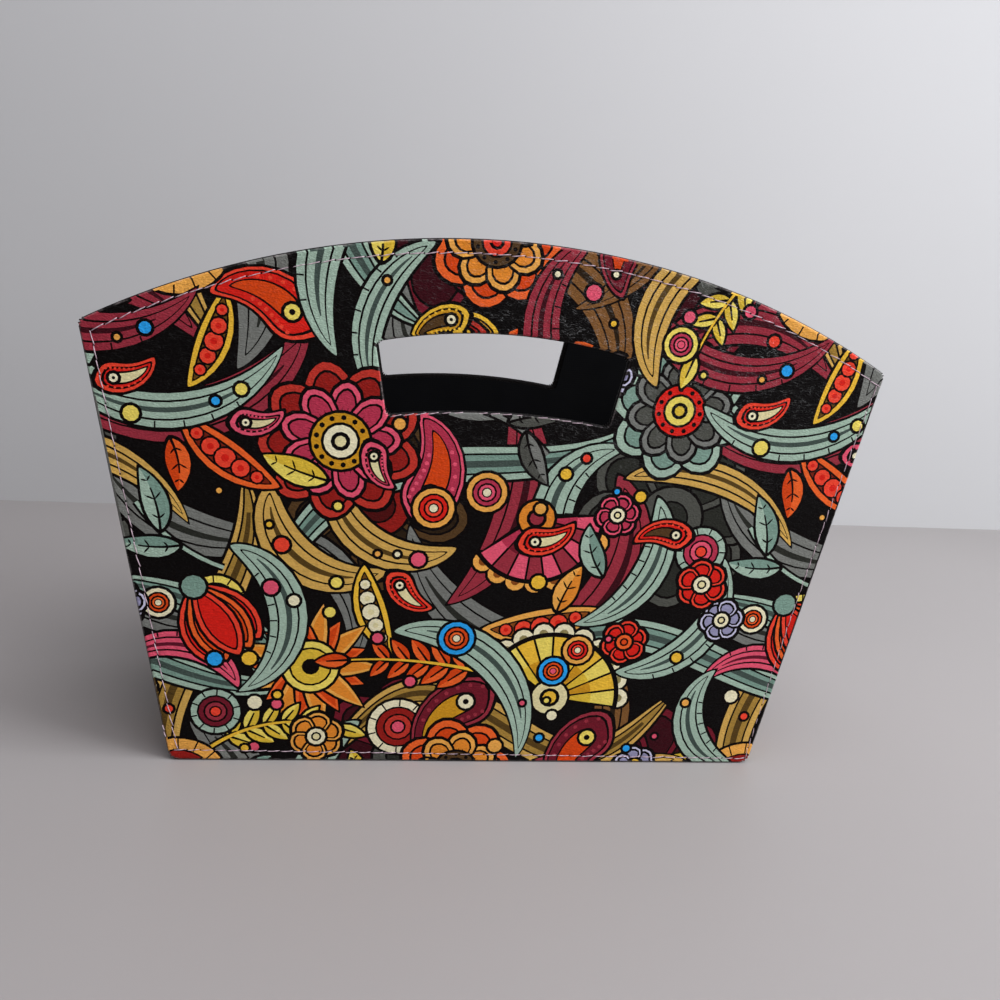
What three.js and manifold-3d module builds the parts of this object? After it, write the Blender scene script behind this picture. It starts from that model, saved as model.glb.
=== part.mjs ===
// Craft storage basket: four flat walls and a base. Each panel is a stiff board wrapped in a
// leather-look skin and lined in black. The front and rear walls are arched and have a hand hole.
// Millimetres, +Z up, front towards -Y, origin on the floor under the middle of the basket.
import * as THREE from "three";
import { mergeVertices } from "three/addons/utils/BufferGeometryUtils.js";
import Module from "manifold-3d";

const wasm = await Module();
wasm.setup();

// Front and rear walls, measured along the wall
const cornerHeight = 190;
const topWidth = 332;
const footWidth = 268;
const archRise = 42.5;

// Hand hole, measured along the wall
const gripTopWidth = 104.4;
const gripFootWidth = 93.2;
const gripHeight = 29.4;
const gripTopDrop = 0.7;
const gripTopRise = 6.2;
const gripFootRise = 3.5;
const gripCornerRadius = 3;

// Stance
const footDepth = 122;
const outwardLean = THREE.MathUtils.degToRad(2.25);
const wallLift = 0.3;

// End walls
const endDrop = 4;
const endInset = 1;

// Layers of a panel
const skinThickness = 0.8;
const boardThickness = 2;
const liningThickness = 0.6;
const glueLine = 0.1;
const hemWidth = 12;
const liningMargin = 2;
const panelCornerRadius = 3;
const foldRadius = 1.2;
const seamGap = 0.3;
const overrun = 1;

// Fineness of the curves
const archSteps = 40;
const gripSteps = 14;
const cornerSteps = 4;
const foldSteps = 3;
const cornerTurn = THREE.MathUtils.degToRad(20);

// Sizes that follow
const coverDepth = skinThickness + glueLine + boardThickness + glueLine + skinThickness;
const panelThickness = coverDepth + glueLine + liningThickness;
const flare = (topWidth - footWidth) / 2;
const cornerLevel = cornerHeight * Math.cos(outwardLean);
const endTilt = Math.atan2(flare, cornerLevel);

const skinLook = new THREE.MeshStandardMaterial({ color: 0x7c4436, roughness: 0.48, metalness: 0 });
const baseLook = new THREE.MeshStandardMaterial({ color: 0x1b191b, roughness: 0.55, metalness: 0 });
const boardLook = new THREE.MeshStandardMaterial({ color: 0x9c9282, roughness: 0.9, metalness: 0 });
const liningLook = new THREE.MeshStandardMaterial({ color: 0x0e0e10, roughness: 0.85, metalness: 0 });

// The circle through the ends and the crown of an edge that rises in the middle.
function circleOf({ half, height, rise }) {
  const radius = (half * half + rise * rise) / (2 * rise);
  return { radius, centre: height + rise - radius };
}

// Points along an edge from one side of the middle line to the other.
function edgePoints(edge, fromSide, steps) {
  const { half, height, rise } = edge;
  const from = new THREE.Vector2(fromSide * half, height);
  const to = new THREE.Vector2(-fromSide * half, height);
  if (rise === 0) return [from, to];
  const { radius, centre } = circleOf(edge);
  const fromAngle = Math.atan2(from.y - centre, from.x);
  const toAngle = Math.atan2(to.y - centre, to.x);
  const clockwise = toAngle < fromAngle;
  return new THREE.EllipseCurve(0, centre, radius, radius, fromAngle, toAngle, clockwise).getPoints(steps);
}

// The height at which a side line, x = start + slope * height, meets the upper half of a circle.
function meetingHeight(start, slope, { radius, centre }) {
  const square = 1 + slope * slope;
  const linear = start * slope - centre;
  const constant = start * start + centre * centre - radius * radius;
  return (Math.sqrt(linear * linear - square * constant) - linear) / square;
}

// An edge shifted along its own normal and ended on the given side line.
function shiftedEdge(edge, shift, start, slope) {
  if (edge.rise === 0) {
    const height = edge.height + shift;
    return { half: start + slope * height, height, rise: 0 };
  }
  const circle = circleOf(edge);
  circle.radius += shift;
  const height = meetingHeight(start, slope, circle);
  return { half: start + slope * height, height, rise: circle.centre + circle.radius - height };
}

// A four-sided form drawn in by a distance on every side, or let out where it is negative.
function drawnIn({ foot, top, steps }, distance) {
  const slope = (top.half - foot.half) / (top.height - foot.height);
  const start = foot.half - slope * foot.height - distance * Math.hypot(1, slope);
  return {
    foot: shiftedEdge(foot, distance, start, slope),
    top: shiftedEdge(top, -distance, start, slope),
    steps,
  };
}

// The outline of a four-sided form, counter-clockwise, with its corners rounded.
function outlineOf({ foot, top, steps }, cornerRadius) {
  return filleted([...edgePoints(foot, -1, steps), ...edgePoints(top, 1, steps)], cornerRadius);
}

// The outline with each sharp corner turned into a fillet.
function filleted(points, radius) {
  return points.flatMap((point, i) => {
    const arriving = point.clone().sub(points.at(i - 1));
    const leaving = points[(i + 1) % points.length].clone().sub(point);
    const turn = Math.abs(Math.atan2(arriving.cross(leaving), arriving.dot(leaving)));
    if (turn < cornerTurn) return [point];
    const reach = Math.min(radius * Math.tan(turn / 2), arriving.length() / 2, leaving.length() / 2);
    const enter = point.clone().addScaledVector(arriving.normalize(), -reach);
    const exit = point.clone().addScaledVector(leaving.normalize(), reach);
    return new THREE.QuadraticBezierCurve(enter, point, exit).getPoints(cornerSteps);
  });
}

// An outline raised from one level to another, with an opening if there is one, as a closed solid.
// With a fold, its edges are rounded at both faces.
function raised(outline, opening, low, high, fold = 0) {
  const shape = new THREE.Shape(outline);
  if (opening) shape.holes.push(new THREE.Path(opening));
  const geometry = new THREE.ExtrudeGeometry(shape, {
    depth: high - low - fold * 2,
    bevelEnabled: fold > 0,
    bevelThickness: fold,
    bevelSize: fold,
    bevelOffset: -fold,
    bevelSegments: foldSteps,
  });
  return solidFrom(geometry.translate(0, 0, low + fold));
}

function solidFrom(geometry) {
  geometry.deleteAttribute("normal");
  geometry.deleteAttribute("uv");
  const merged = mergeVertices(geometry);
  const vertProperties = new Float32Array(merged.attributes.position.array);
  const triVerts = new Uint32Array(merged.index.array);
  return new wasm.Manifold(new wasm.Mesh({ numProp: 3, vertProperties, triVerts }));
}

function meshFrom(name, solid, material) {
  const { vertProperties, triVerts, numProp } = solid.getMesh();
  const geometry = new THREE.BufferGeometry();
  const stored = new THREE.InterleavedBuffer(new Float32Array(vertProperties), numProp);
  geometry.setAttribute("position", new THREE.InterleavedBufferAttribute(stored, 3, 0));
  geometry.setIndex(new THREE.BufferAttribute(new Uint32Array(triVerts), 1));
  const flat = geometry.toNonIndexed();
  flat.computeVertexNormals();
  const mesh = new THREE.Mesh(flat, material);
  mesh.name = name;
  return mesh;
}

// The outlines that the layers of a panel share: its edge drawn in, and its hand hole let out.
function layerOutlines(form, grip) {
  const inner = (margin) => outlineOf(drawnIn(form, margin), panelCornerRadius);
  const hole = (margin) => (grip ? outlineOf(drawnIn(grip, -margin), gripCornerRadius) : null);
  return { inner, hole };
}

// The skin: a flat face at level zero, walls that turn over the edges, and a hem behind the board.
function makeCover({ inner, hole }) {
  const block = raised(inner(0), hole(0), -coverDepth, 0, foldRadius);
  const pocketTop = -skinThickness;
  const pocketFoot = skinThickness - coverDepth;
  const pocket = raised(inner(skinThickness), hole(skinThickness), pocketFoot, pocketTop);
  const windowTop = pocketFoot + boardThickness / 2;
  const window = raised(inner(hemWidth), hole(hemWidth), -coverDepth - overrun, windowTop);
  return block.subtract(pocket).subtract(window);
}

// The board fills the skin's pocket, less the glue.
function makeBoard({ inner, hole }) {
  const margin = skinThickness + glueLine;
  return raised(inner(margin), hole(margin), margin - coverDepth, -margin);
}

// The lining lies over the hem, and the card behind it fills the hem's ring up to the board.
function makeLining({ inner, hole }) {
  const face = -coverDepth - glueLine;
  const sheet = raised(inner(liningMargin), hole(liningMargin), face - liningThickness, face);
  const cardMargin = hemWidth + glueLine;
  const cardTop = skinThickness - coverDepth;
  const card = raised(inner(cardMargin), hole(cardMargin), face - liningThickness / 2, cardTop);
  return sheet.add(card);
}

// A whole panel, outer face at local z = 0 and its layers behind it.
function makePanel(name, form, grip, coverLook) {
  const outlines = layerOutlines(form, grip);
  const panel = new THREE.Group();
  panel.add(meshFrom(name + "_cover", makeCover(outlines), coverLook));
  panel.add(meshFrom(name + "_board", makeBoard(outlines), boardLook));
  panel.add(meshFrom(name + "_lining", makeLining(outlines), liningLook));
  return panel;
}

// A front or rear wall, stood up from the floor and leaning outwards.
function makeLongWall(name) {
  const form = {
    foot: { half: footWidth / 2, height: 0, rise: 0 },
    top: { half: topWidth / 2, height: cornerHeight, rise: archRise },
    steps: archSteps,
  };
  const gripTop = cornerHeight - gripTopDrop;
  const grip = {
    foot: { half: gripFootWidth / 2, height: gripTop - gripHeight, rise: gripFootRise },
    top: { half: gripTopWidth / 2, height: gripTop, rise: gripTopRise },
    steps: gripSteps,
  };
  const wall = makePanel(name, form, grip, skinLook);
  wall.rotation.x = Math.PI / 2 + outwardLean;
  wall.position.set(0, -footDepth / 2, wallLift);
  return wall;
}

// Half of the free depth between the front and rear walls at a level above their feet.
function halfRoom(level) {
  const outer = footDepth / 2 + level * Math.tan(outwardLean);
  return outer - panelThickness / Math.cos(outwardLean) - seamGap;
}

// An end wall, stood between the long walls and tilted to follow their side edges.
function makeEndWall(name) {
  const topLevel = cornerLevel - endDrop;
  const form = {
    foot: { half: halfRoom(0), height: 0, rise: 0 },
    top: { half: halfRoom(topLevel), height: topLevel / Math.cos(endTilt), rise: 0 },
    steps: 1,
  };
  const wall = makePanel(name, form, null, skinLook);
  wall.rotation.x = Math.PI / 2 + endTilt;
  wall.position.set(0, endInset - footWidth / 2, wallLift);
  return wall;
}

// The base lies between the feet of the four walls with its skin on the floor.
function makeBase() {
  const half = footWidth / 2 - endInset - panelThickness / Math.cos(endTilt) - seamGap;
  const form = {
    foot: { half, height: -halfRoom(0), rise: 0 },
    top: { half, height: halfRoom(0), rise: 0 },
    steps: 1,
  };
  const base = makePanel("base", form, null, baseLook);
  base.rotation.x = Math.PI;
  return base;
}

// A wall turned about the vertical to its own side of the basket.
function turned(wall, quarterTurns) {
  const side = new THREE.Group();
  side.rotation.z = (quarterTurns * Math.PI) / 2;
  side.add(wall);
  return side;
}

const basket = new THREE.Group();
basket.add(turned(makeLongWall("front"), 0));
basket.add(turned(makeEndWall("right_end"), 1));
basket.add(turned(makeLongWall("rear"), 2));
basket.add(turned(makeEndWall("left_end"), 3));
basket.add(makeBase());

export default basket;
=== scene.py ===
# %% [markdown]
# # A craft storage basket in printed leatherette
# The real basket is flat work: five stiff boards, each wrapped in a leather-look skin, lined in black
# and sewn together. The front and rear walls are arched, lean outwards and have a hand hole.
# The CAD frame holds every board, skin and lining at its real size. This lesson gives the four walls
# their printed skins, adds the thread, finishes every surface, and sets up the picture.

# %% Load the CAD frame
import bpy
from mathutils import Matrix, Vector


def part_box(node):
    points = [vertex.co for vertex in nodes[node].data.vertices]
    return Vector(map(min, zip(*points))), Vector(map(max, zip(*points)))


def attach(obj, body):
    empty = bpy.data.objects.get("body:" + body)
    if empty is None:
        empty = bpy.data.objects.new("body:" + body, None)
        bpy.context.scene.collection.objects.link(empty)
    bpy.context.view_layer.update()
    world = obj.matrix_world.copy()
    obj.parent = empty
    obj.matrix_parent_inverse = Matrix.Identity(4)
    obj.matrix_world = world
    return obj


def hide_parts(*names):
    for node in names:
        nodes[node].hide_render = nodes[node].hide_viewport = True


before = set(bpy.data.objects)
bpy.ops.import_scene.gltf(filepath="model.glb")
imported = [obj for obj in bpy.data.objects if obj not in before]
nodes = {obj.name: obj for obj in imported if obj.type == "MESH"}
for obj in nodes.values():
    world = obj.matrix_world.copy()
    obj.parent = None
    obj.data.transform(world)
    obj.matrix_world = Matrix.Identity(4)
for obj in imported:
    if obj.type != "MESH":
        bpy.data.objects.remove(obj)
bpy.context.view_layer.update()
print("CAD nodes:", ", ".join(sorted(nodes)))

# %% Libraries
import math
import random

import bpy
import numpy as np
from mathutils import Matrix, Vector, geometry
from mathutils.bvhtree import BVHTree

# %% [markdown]
# ## Sizes
# A maker cuts flat pieces, so every wall is drawn flat first, in millimetres, and stood up afterwards.
# These are the same driving sizes that the frame was made with. What follows from them is worked out,
# and the finished skins are measured against the frame's own boxes further down.

# %% Driving sizes, in millimetres
MM = 0.001
CORNER_HEIGHT = 190.0
TOP_WIDTH = 332.0
FOOT_WIDTH = 268.0
ARCH_RISE = 42.5
GRIP_TOP_WIDTH = 104.4
GRIP_FOOT_WIDTH = 93.2
GRIP_HEIGHT = 29.4
GRIP_TOP_DROP = 0.7
GRIP_TOP_RISE = 6.2
GRIP_FOOT_RISE = 3.5
FOOT_DEPTH = 122.0
LEAN = math.radians(2.25)
WALL_LIFT = 0.3
END_DROP = 4.0
END_INSET = 1.0
print(f"the long walls are {FOOT_WIDTH:.0f} mm wide at the foot and {TOP_WIDTH:.0f} mm at their corners")

# %% The layers of a wall, in millimetres
SKIN = 0.8
BOARD = 2.0
LINING = 0.6
GLUE = 0.1
HEM = 12.0
FOLD = 1.2
SEAM_GAP = 0.3
COVER_DEPTH = SKIN + GLUE + BOARD + GLUE + SKIN
WALL_DEPTH = COVER_DEPTH + GLUE + LINING
CORNER_LEVEL = CORNER_HEIGHT * math.cos(LEAN)
END_TILT = math.atan2((TOP_WIDTH - FOOT_WIDTH) / 2, CORNER_LEVEL)
print(f"a wall is {WALL_DEPTH:.1f} mm thick, and an end wall tilts {math.degrees(END_TILT):.2f} degrees")

# %% [markdown]
# ## Flat outlines
# A point of the flat drawing is one complex number: adding moves it, multiplying by a number turns
# and scales it. A wall is a four-sided form whose foot and top edges may rise in the middle as arcs.
# Each edge is (half width, height, rise). Drawing the form in by a distance gives the lines where the
# skin starts to fold and where its hem ends, and every such line has the same number of points,
# so that a point on one has its partner on all the others.

# %% The outline of a wall, drawn in by any distance
ARCH_STEPS = 56
GRIP_STEPS = 16
# The skin is gathered round the board's corners, which makes its own a little rounder.
OUTER_CORNER = 5.2
GRIP_CORNER = 3.0
CORNER_STEPS = 16
CORNER_PLEATS = 4
SHARP_TURN = math.radians(20)


def circle_of(edge):
    """The circle through the ends and the crown of an edge: its radius and the height of its centre."""
    half, height, rise = edge
    radius = (half * half + rise * rise) / (2 * rise)
    return radius, height + rise - radius


def edge_points(edge, side, steps):
    """Points along an edge, from the given side of the middle line to the other."""
    half, height, rise = edge
    ends = np.array([side * half, -side * half]) + 1j * height
    if rise == 0:
        return ends
    radius, centre = circle_of(edge)
    angles = np.angle(ends - 1j * centre)
    return 1j * centre + radius * np.exp(1j * np.linspace(angles[0], angles[1], steps + 1))


def shifted_edge(edge, shift, start, slope):
    """An edge moved along its own normal and ended on the side line x = start + slope * height."""
    _, height, rise = edge
    if rise == 0:
        height += shift
        return start + slope * height, height, 0
    radius, centre = circle_of(edge)
    radius += shift
    square = 1 + slope * slope
    linear = start * slope - centre
    constant = start * start + centre * centre - radius * radius
    height = (math.sqrt(linear * linear - square * constant) - linear) / square
    return start + slope * height, height, centre + radius - height


def side_line(form, distance):
    """The side of a form drawn in by a distance: where it starts at height zero, and its slope."""
    foot, top = form
    slope = (top[0] - foot[0]) / (top[1] - foot[1])
    return foot[0] - slope * foot[1] - distance * math.hypot(1, slope), slope


def drawn_in(form, distance):
    """A four-sided form drawn in by a distance on every side, or let out where it is negative."""
    side = side_line(form, distance)
    return shifted_edge(form[0], distance, *side), shifted_edge(form[1], -distance, *side)


def outline_of(form, steps, corner):
    """The counter-clockwise outline of a form with rounded corners, and how much each point may pleat."""
    foot, top = form
    corners = np.concatenate([edge_points(foot, -1, steps), edge_points(top, 1, steps)])
    points, pleats = [], []
    for before, here, after in zip(np.roll(corners, 1), corners, np.roll(corners, -1)):
        arriving, leaving = here - before, after - here
        turn = abs(np.angle(leaving / arriving))
        if turn < SHARP_TURN:
            points.append(here)
            pleats.append(0.0)
            continue
        reach = min(corner * math.tan(turn / 2), abs(arriving) / 2, abs(leaving) / 2)
        share = np.linspace(0, 1, CORNER_STEPS + 1)
        enter = here - arriving / abs(arriving) * reach
        leave = here + leaving / abs(leaving) * reach
        points += list((1 - share) ** 2 * enter + 2 * share * (1 - share) * here + share**2 * leave)
        pleats += list(np.sin(np.pi * share) * np.sin(2 * np.pi * CORNER_PLEATS * share))
    return np.array(points), np.array(pleats)

# %% The forms of the walls
def half_room(level):
    """Half of the free depth between the front and rear walls at a level above their feet."""
    outer = FOOT_DEPTH / 2 + level * math.tan(LEAN)
    return outer - WALL_DEPTH / math.cos(LEAN) - SEAM_GAP


end_level = CORNER_LEVEL - END_DROP
grip_top = CORNER_HEIGHT - GRIP_TOP_DROP
long_form = ((FOOT_WIDTH / 2, 0, 0), (TOP_WIDTH / 2, CORNER_HEIGHT, ARCH_RISE))
grip_form = (
    (GRIP_FOOT_WIDTH / 2, grip_top - GRIP_HEIGHT, GRIP_FOOT_RISE),
    (GRIP_TOP_WIDTH / 2, grip_top, GRIP_TOP_RISE),
)
end_form = ((half_room(0), 0, 0), (half_room(end_level), end_level / math.cos(END_TILT), 0))


def standing(quarter_turns, tilt, foot_out):
    """The place of a wall: drawn flat facing up, stood on its foot, tilted out and turned to its side."""
    turned = Matrix.Rotation(quarter_turns * math.pi / 2, 4, "Z")
    moved = Matrix.Translation((0, -foot_out * MM, WALL_LIFT * MM))
    return turned @ moved @ Matrix.Rotation(math.pi / 2 + tilt, 4, "X")


end_out = FOOT_WIDTH / 2 - END_INSET
walls = {
    "front": {"form": long_form, "grip": grip_form, "place": standing(0, LEAN, FOOT_DEPTH / 2)},
    "right_end": {"form": end_form, "grip": None, "place": standing(1, END_TILT, end_out)},
    "rear": {"form": long_form, "grip": grip_form, "place": standing(2, LEAN, FOOT_DEPTH / 2)},
    "left_end": {"form": end_form, "grip": None, "place": standing(3, END_TILT, end_out)},
}
for name, wall in walls.items():
    print(f"{name}: foot {2 * wall['form'][0][0]:.1f} mm, top {2 * wall['form'][1][0]:.1f} mm wide")

# %% [markdown]
# ## The print
# The skin is printed by the metre before it is cut, with a repeat of flowers, leaves, drops and bands.
# A printed colour could be a shader of noises, but drawn motifs have crisp outlines, so here each motif
# is real flat geometry: a list of closed shapes with an ink, the later ones printed over the earlier.
# Every motif gets the same pen line round it and a thinner one inside, as in a hand-drawn pattern.

# %% Inks: a light, a middle and a deep tone of each colour
TONES = {
    "sage": ("#a6bfad", "#7d9c8e", "#45534d"),
    "grey": ("#7a7c77", "#51524c", "#2c2d28"),
    "straw": ("#f3dd66", "#e4c03d", "#7b5e24"),
    "mustard": ("#f3c13c", "#d09622", "#6c4917"),
    "tan": ("#f3ae51", "#e98e2f", "#8c4b1b"),
    "orange": ("#f3672b", "#dc4815", "#7c2410"),
    "scarlet": ("#f34731", "#de231a", "#81110f"),
    "brick": ("#c4372c", "#971f1a", "#511111"),
    "maroon": ("#9c3240", "#721b2a", "#3c0e17"),
    "rose": ("#ea5974", "#bb3651", "#62182a"),
    "cream": ("#f3ebc6", "#eadfa9", "#968b5a"),
    "brown": ("#825931", "#543c22", "#2c1f12"),
    "blue": ("#2ca5f3", "#1265cd", "#0c2c5f"),
    "lilac": ("#ccc9e2", "#9a98b9", "#53506e"),
    "ochre": ("#d6ab58", "#a9853c", "#58421d"),
}
GROUND = "#0c0909"
PEN = "#0b0606"
PEN_WIDTH = 1.3
INNER_LINE = 0.85
HATCH = 0.34
print(f"the print has {3 * len(TONES)} inks on its ground")

# %% Shapes that the motifs are drawn with
def disc(radius, at=0, steps=None):
    """A round shape."""
    count = steps or int(7.5 + radius * 1.05)
    return at + radius * np.exp(2j * np.pi * np.arange(count) / count)


def swelling(share, crown, fullness):
    """How far a pod has swollen at a share of its length: nothing at the ends, all at the crown."""
    return np.sin(np.pi * share ** (math.log(0.5) / math.log(crown))) ** fullness


def middle_line(length, bend, shares):
    """Points on the bent middle line of a pod, and the direction at each."""
    along = length * np.asarray(shares, float)
    if not bend:
        return along + 0j, np.ones_like(along) + 0j
    curl = math.radians(bend) / length
    heading = np.exp(1j * curl * along)
    return (heading - 1) / (1j * curl), heading


def spot_on(length, bend, share):
    """One point on the middle line of a pod, and the direction there."""
    (spot,), (heading,) = middle_line(length, bend, [share])
    return spot, heading


def pod(length, width, bend=0, crown=0.5, fullness=0.6, inset=0):
    """A petal, leaf, drop or crescent from 0 towards +x, drawn in by the inset."""
    steps = int(6.5 + length * 0.14 + abs(bend) * 0.04)
    share = (1 - np.cos(np.linspace(0, np.pi, steps))) / 2
    middle, heading = middle_line(length, bend, inset * 1.3 / length + share * (1 - inset * 2.6 / length))
    half = (width / 2 - inset) * swelling(share, crown, fullness)
    half[0] = half[-1] = 0
    side = 1j * heading * half
    return np.concatenate([(middle - side)[:-1], (middle + side)[:0:-1]])

# %% Strokes, turns and bands
def stroke(path, half):
    """A pen stroke along a path."""
    heading = np.gradient(path)
    side = 1j * heading / abs(heading) * half
    return np.concatenate([path - side, (path + side)[::-1]])


def tapered(path, half):
    """A pen stroke that is thin at both ends."""
    return stroke(path, half * np.sin(np.linspace(0.12, np.pi - 0.12, len(path))) ** 0.7)


def turned(drawing, degrees=0, at=0):
    """A drawing turned and then moved."""
    factor = np.exp(1j * math.radians(degrees))
    return [(shape * factor + at, ink) for shape, ink in drawing]


def centred(drawing):
    """A drawing moved so that its first shape lies round 0."""
    return turned(drawing, 0, -drawing[0][0].mean())


def around(count, make, first=0):
    """Drawings at even turns round 0, each made from its number."""
    return [shape for k in range(count) for shape in turned(make(k), (k + first) * 360 / count)]


def banded(form, inks, insets=()):
    """A form in bands of ink, with the pen line round it and a thinner one between the bands."""
    drawing = [(form(-PEN_WIDTH), PEN), (form(0), inks[0])]
    for inset, ink in zip(insets, inks[1:]):
        drawing += [(form(inset), PEN), (form(inset + INNER_LINE), ink)]
    return drawing


def ringed(radii, inks, at=0):
    """Discs in each other with the pen line round the first."""
    drawing = [(disc(radii[0] + PEN_WIDTH, at), PEN)]
    return drawing + [(disc(radius, at), ink) for radius, ink in zip(radii, inks)]

# %% Motifs: leaves, sprays, bands and drops
def leaf(length, width, tones, bend=0, veins=3):
    """A pointed leaf with one half in shade."""
    light, middle, _ = tones
    form = lambda inset: pod(length, width, bend, 0.42, 0.8, inset)
    drawing = banded(form, (light,))
    shares = np.linspace(0, 1, 13)
    spine, heading = middle_line(length, bend, shares)
    edge = width / 2 * swelling(shares, 0.42, 0.8)
    shade = np.concatenate([spine, (spine - 1j * heading * edge)[-2:0:-1]])
    drawing.append((shade[::-1], middle))
    for share in np.linspace(0.18, 0.78, veins):
        root, way = spot_on(length, bend, share)
        reach = width * 0.42 * swelling(share, 0.42, 0.8)
        for side in (1, -1):
            tip = root + way * reach * np.exp(1j * side * math.radians(52))
            drawing.append((tapered(np.linspace(root, tip, 4), HATCH * 1.2), PEN))
    return drawing + [(stroke(middle_line(length, bend, shares[:9])[0], np.linspace(0.6, 0.34, 9)), PEN)]


def berry_dot(radius, tones, at=0):
    """A berry."""
    return ringed((radius,), (tones[0],), at)


def spray(length, bend, stem, tones, berry, pairs=5):
    """A stem with pairs of leaves, a leaf at its tip and three berries."""
    shares = np.linspace(0, 1, 18)
    path = middle_line(length, bend, shares)[0]
    drawing = [(stroke(path, np.linspace(0.9, 0.4, 18) + PEN_WIDTH * 0.7), PEN)]
    for k in range(pairs):
        root, way = spot_on(length, bend, 0.16 + 0.7 * k / pairs)
        size = length * (0.25 - 0.018 * k)
        for side in (48, -48):
            heading = math.degrees(np.angle(way)) + side
            drawing += turned(leaf(size, size * 0.44, tones, veins=0), heading, root)
    drawing.append((stroke(path, np.linspace(0.8, 0.35, 18)), stem[0]))
    drawing += turned(leaf(length * 0.22, length * 0.1, tones, veins=0), bend, path[-1])
    for share, side in ((0.3, -1), (0.55, 1), (0.8, -1)):
        root, way = spot_on(length, bend, share)
        drawing += berry_dot(length * 0.028 + 0.6, berry, root + side * 1j * way * length * 0.16)
    return drawing


def crescent(length, width, tones, bend, ticks):
    """A bent band with a deep fold along its middle and ticks at its outer edge."""
    light, _, deep = tones
    form = lambda inset: pod(length, width, bend, 0.45, 0.75, inset)
    drawing = banded(form, (light, light), (width * 0.2,))
    spine, heading = middle_line(length, bend, np.linspace(0.14, 0.8, 18))
    drawing.append((tapered(spine + 1j * heading * width * 0.02, width * 0.075), deep))
    for share in np.linspace(0.2, 0.72, ticks):
        root, way = spot_on(length, bend, share)
        outwards = -1j * way * width * swelling(share, 0.45, 0.75)
        drawing.append((stroke(np.linspace(root + outwards / 2, root + outwards * 0.31, 3), HATCH), PEN))
    return drawing


def ribbon(length, width, tones, waves, height):
    """A long waved band in three stripes."""
    light, middle, deep = tones
    shares = np.linspace(0, 1, 46)
    path = length * (shares - 0.5) + 1j * height * np.sin(2 * np.pi * waves * shares)
    half = width / 2 * np.sin(np.linspace(0.05, np.pi - 0.05, 46)) ** 0.5
    drawing = [(stroke(path, half + PEN_WIDTH), PEN), (stroke(path, half), light)]
    drawing += [(stroke(path, half * 0.64), PEN), (stroke(path, half * 0.64 - INNER_LINE), middle)]
    return drawing + [(stroke(path[3:-3], half[3:-3] * 0.2), deep)]


def drop(length, tones, fill, eye, bend=110):
    """A bent drop in bands with beads along both sides."""
    width = length * 0.46
    form = lambda inset: pod(length, width, bend, 0.27, 0.62, inset)
    drawing = banded(form, (tones[0], tones[1], fill[1]), (1.3, width * 0.27))
    for share in np.linspace(0.1, 0.62, 7):
        root, way = spot_on(length, bend, share)
        reach = width / 2 * swelling(share, 0.27, 0.62) - width * 0.17
        for side in (1, -1):
            drawing.append((disc(width * 0.04 + 0.1, root + side * 1j * way * reach, 5), tones[0]))
    heart, _ = spot_on(length, bend, 0.25)
    return drawing + ringed((width * 0.15, width * 0.06), (eye[0], PEN), heart)


def seed_case(length, tones, seeds, bend=35):
    """An open case with five seeds in a row."""
    width = length * 0.3
    form = lambda inset: pod(length, width, bend, 0.5, 0.75, inset)
    drawing = banded(form, (tones[0], tones[2]), (width * 0.16,))
    for share, size in zip((0.2, 0.35, 0.5, 0.65, 0.8), (0.16, 0.24, 0.28, 0.24, 0.16)):
        at, _ = spot_on(length, bend, share)
        drawing += [(disc(width * size + INNER_LINE, at), PEN), (disc(width * size, at), seeds[0])]
        drawing.append((disc(width * size * 0.4, at, 8), seeds[1]))
    return drawing

# %% Motifs: flowers
def petal(length, width, tones, strokes):
    """A petal in two bands, with pen strokes that spread from its root."""
    light, middle, deep = tones
    form = lambda inset: pod(length, width, 0, 0.66, 0.55, inset)
    drawing = banded(form, (light, middle), (width * 0.13,))
    for k in range(strokes):
        off = k - (strokes - 1) / 2
        path = np.linspace(length * 0.2, length * (0.62 - 0.08 * abs(off)), 4)
        drawing.append((tapered(path * np.exp(1j * math.radians(off * 10)), 0.45), deep))
    return drawing


def rosette(radius, count, outer, inner, heart, eye):
    """A double flower with a ring of seeds."""
    reach, ring = radius * 0.74, radius * 0.36
    drawing = around(count, lambda k: petal(radius, radius * 5 / count, outer, 3), 0.5)
    drawing += around(count, lambda k: petal(reach, reach * 4.6 / count, inner, 2))
    drawing += ringed((ring, ring * 0.68), (heart[1], PEN))
    seeds = max(7, int(ring * 1.1))
    for k in range(seeds):
        at = ring * 0.84 * np.exp(2j * np.pi * k / seeds)
        drawing.append((disc(ring * 0.09 + 0.1, at, 6), PEN))
    return drawing + ringed((ring * 0.58, ring * 0.34, ring * 0.2), (eye[0], PEN, eye[1]))[1:]


def blossom(radius, count, outer, inner):
    """An open flower with one row of petals."""
    form = lambda inset: pod(radius, radius * 5.2 / count, 0, 0.66, 0.55, inset)
    petals = around(count, lambda k: banded(form, outer[:2], (radius * 0.07,)))
    heart = (radius * 0.34, radius * 0.2, radius * 0.2 - INNER_LINE)
    return petals + ringed(heart, (inner[0], PEN, inner[1]))


def sunburst(radius, count, one, two, eye):
    """A flower of narrow rays, long and short by turns."""
    def ray(k):
        """A long ray, or a short one where its number is even."""
        tones = (two, one)[k % 2]
        form = lambda inset: pod(radius * (0.82, 1)[k % 2], radius * 5.4 / count, 0, 0.4, 0.9, inset)
        return banded(form, tones) + [(form(radius * 0.05), tones[1])]

    radii = (radius * 0.4, radius * 0.31, radius * 0.28, radius * 0.13)
    return around(count, ray) + ringed(radii, (eye[0], PEN, eye[1], PEN))


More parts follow.
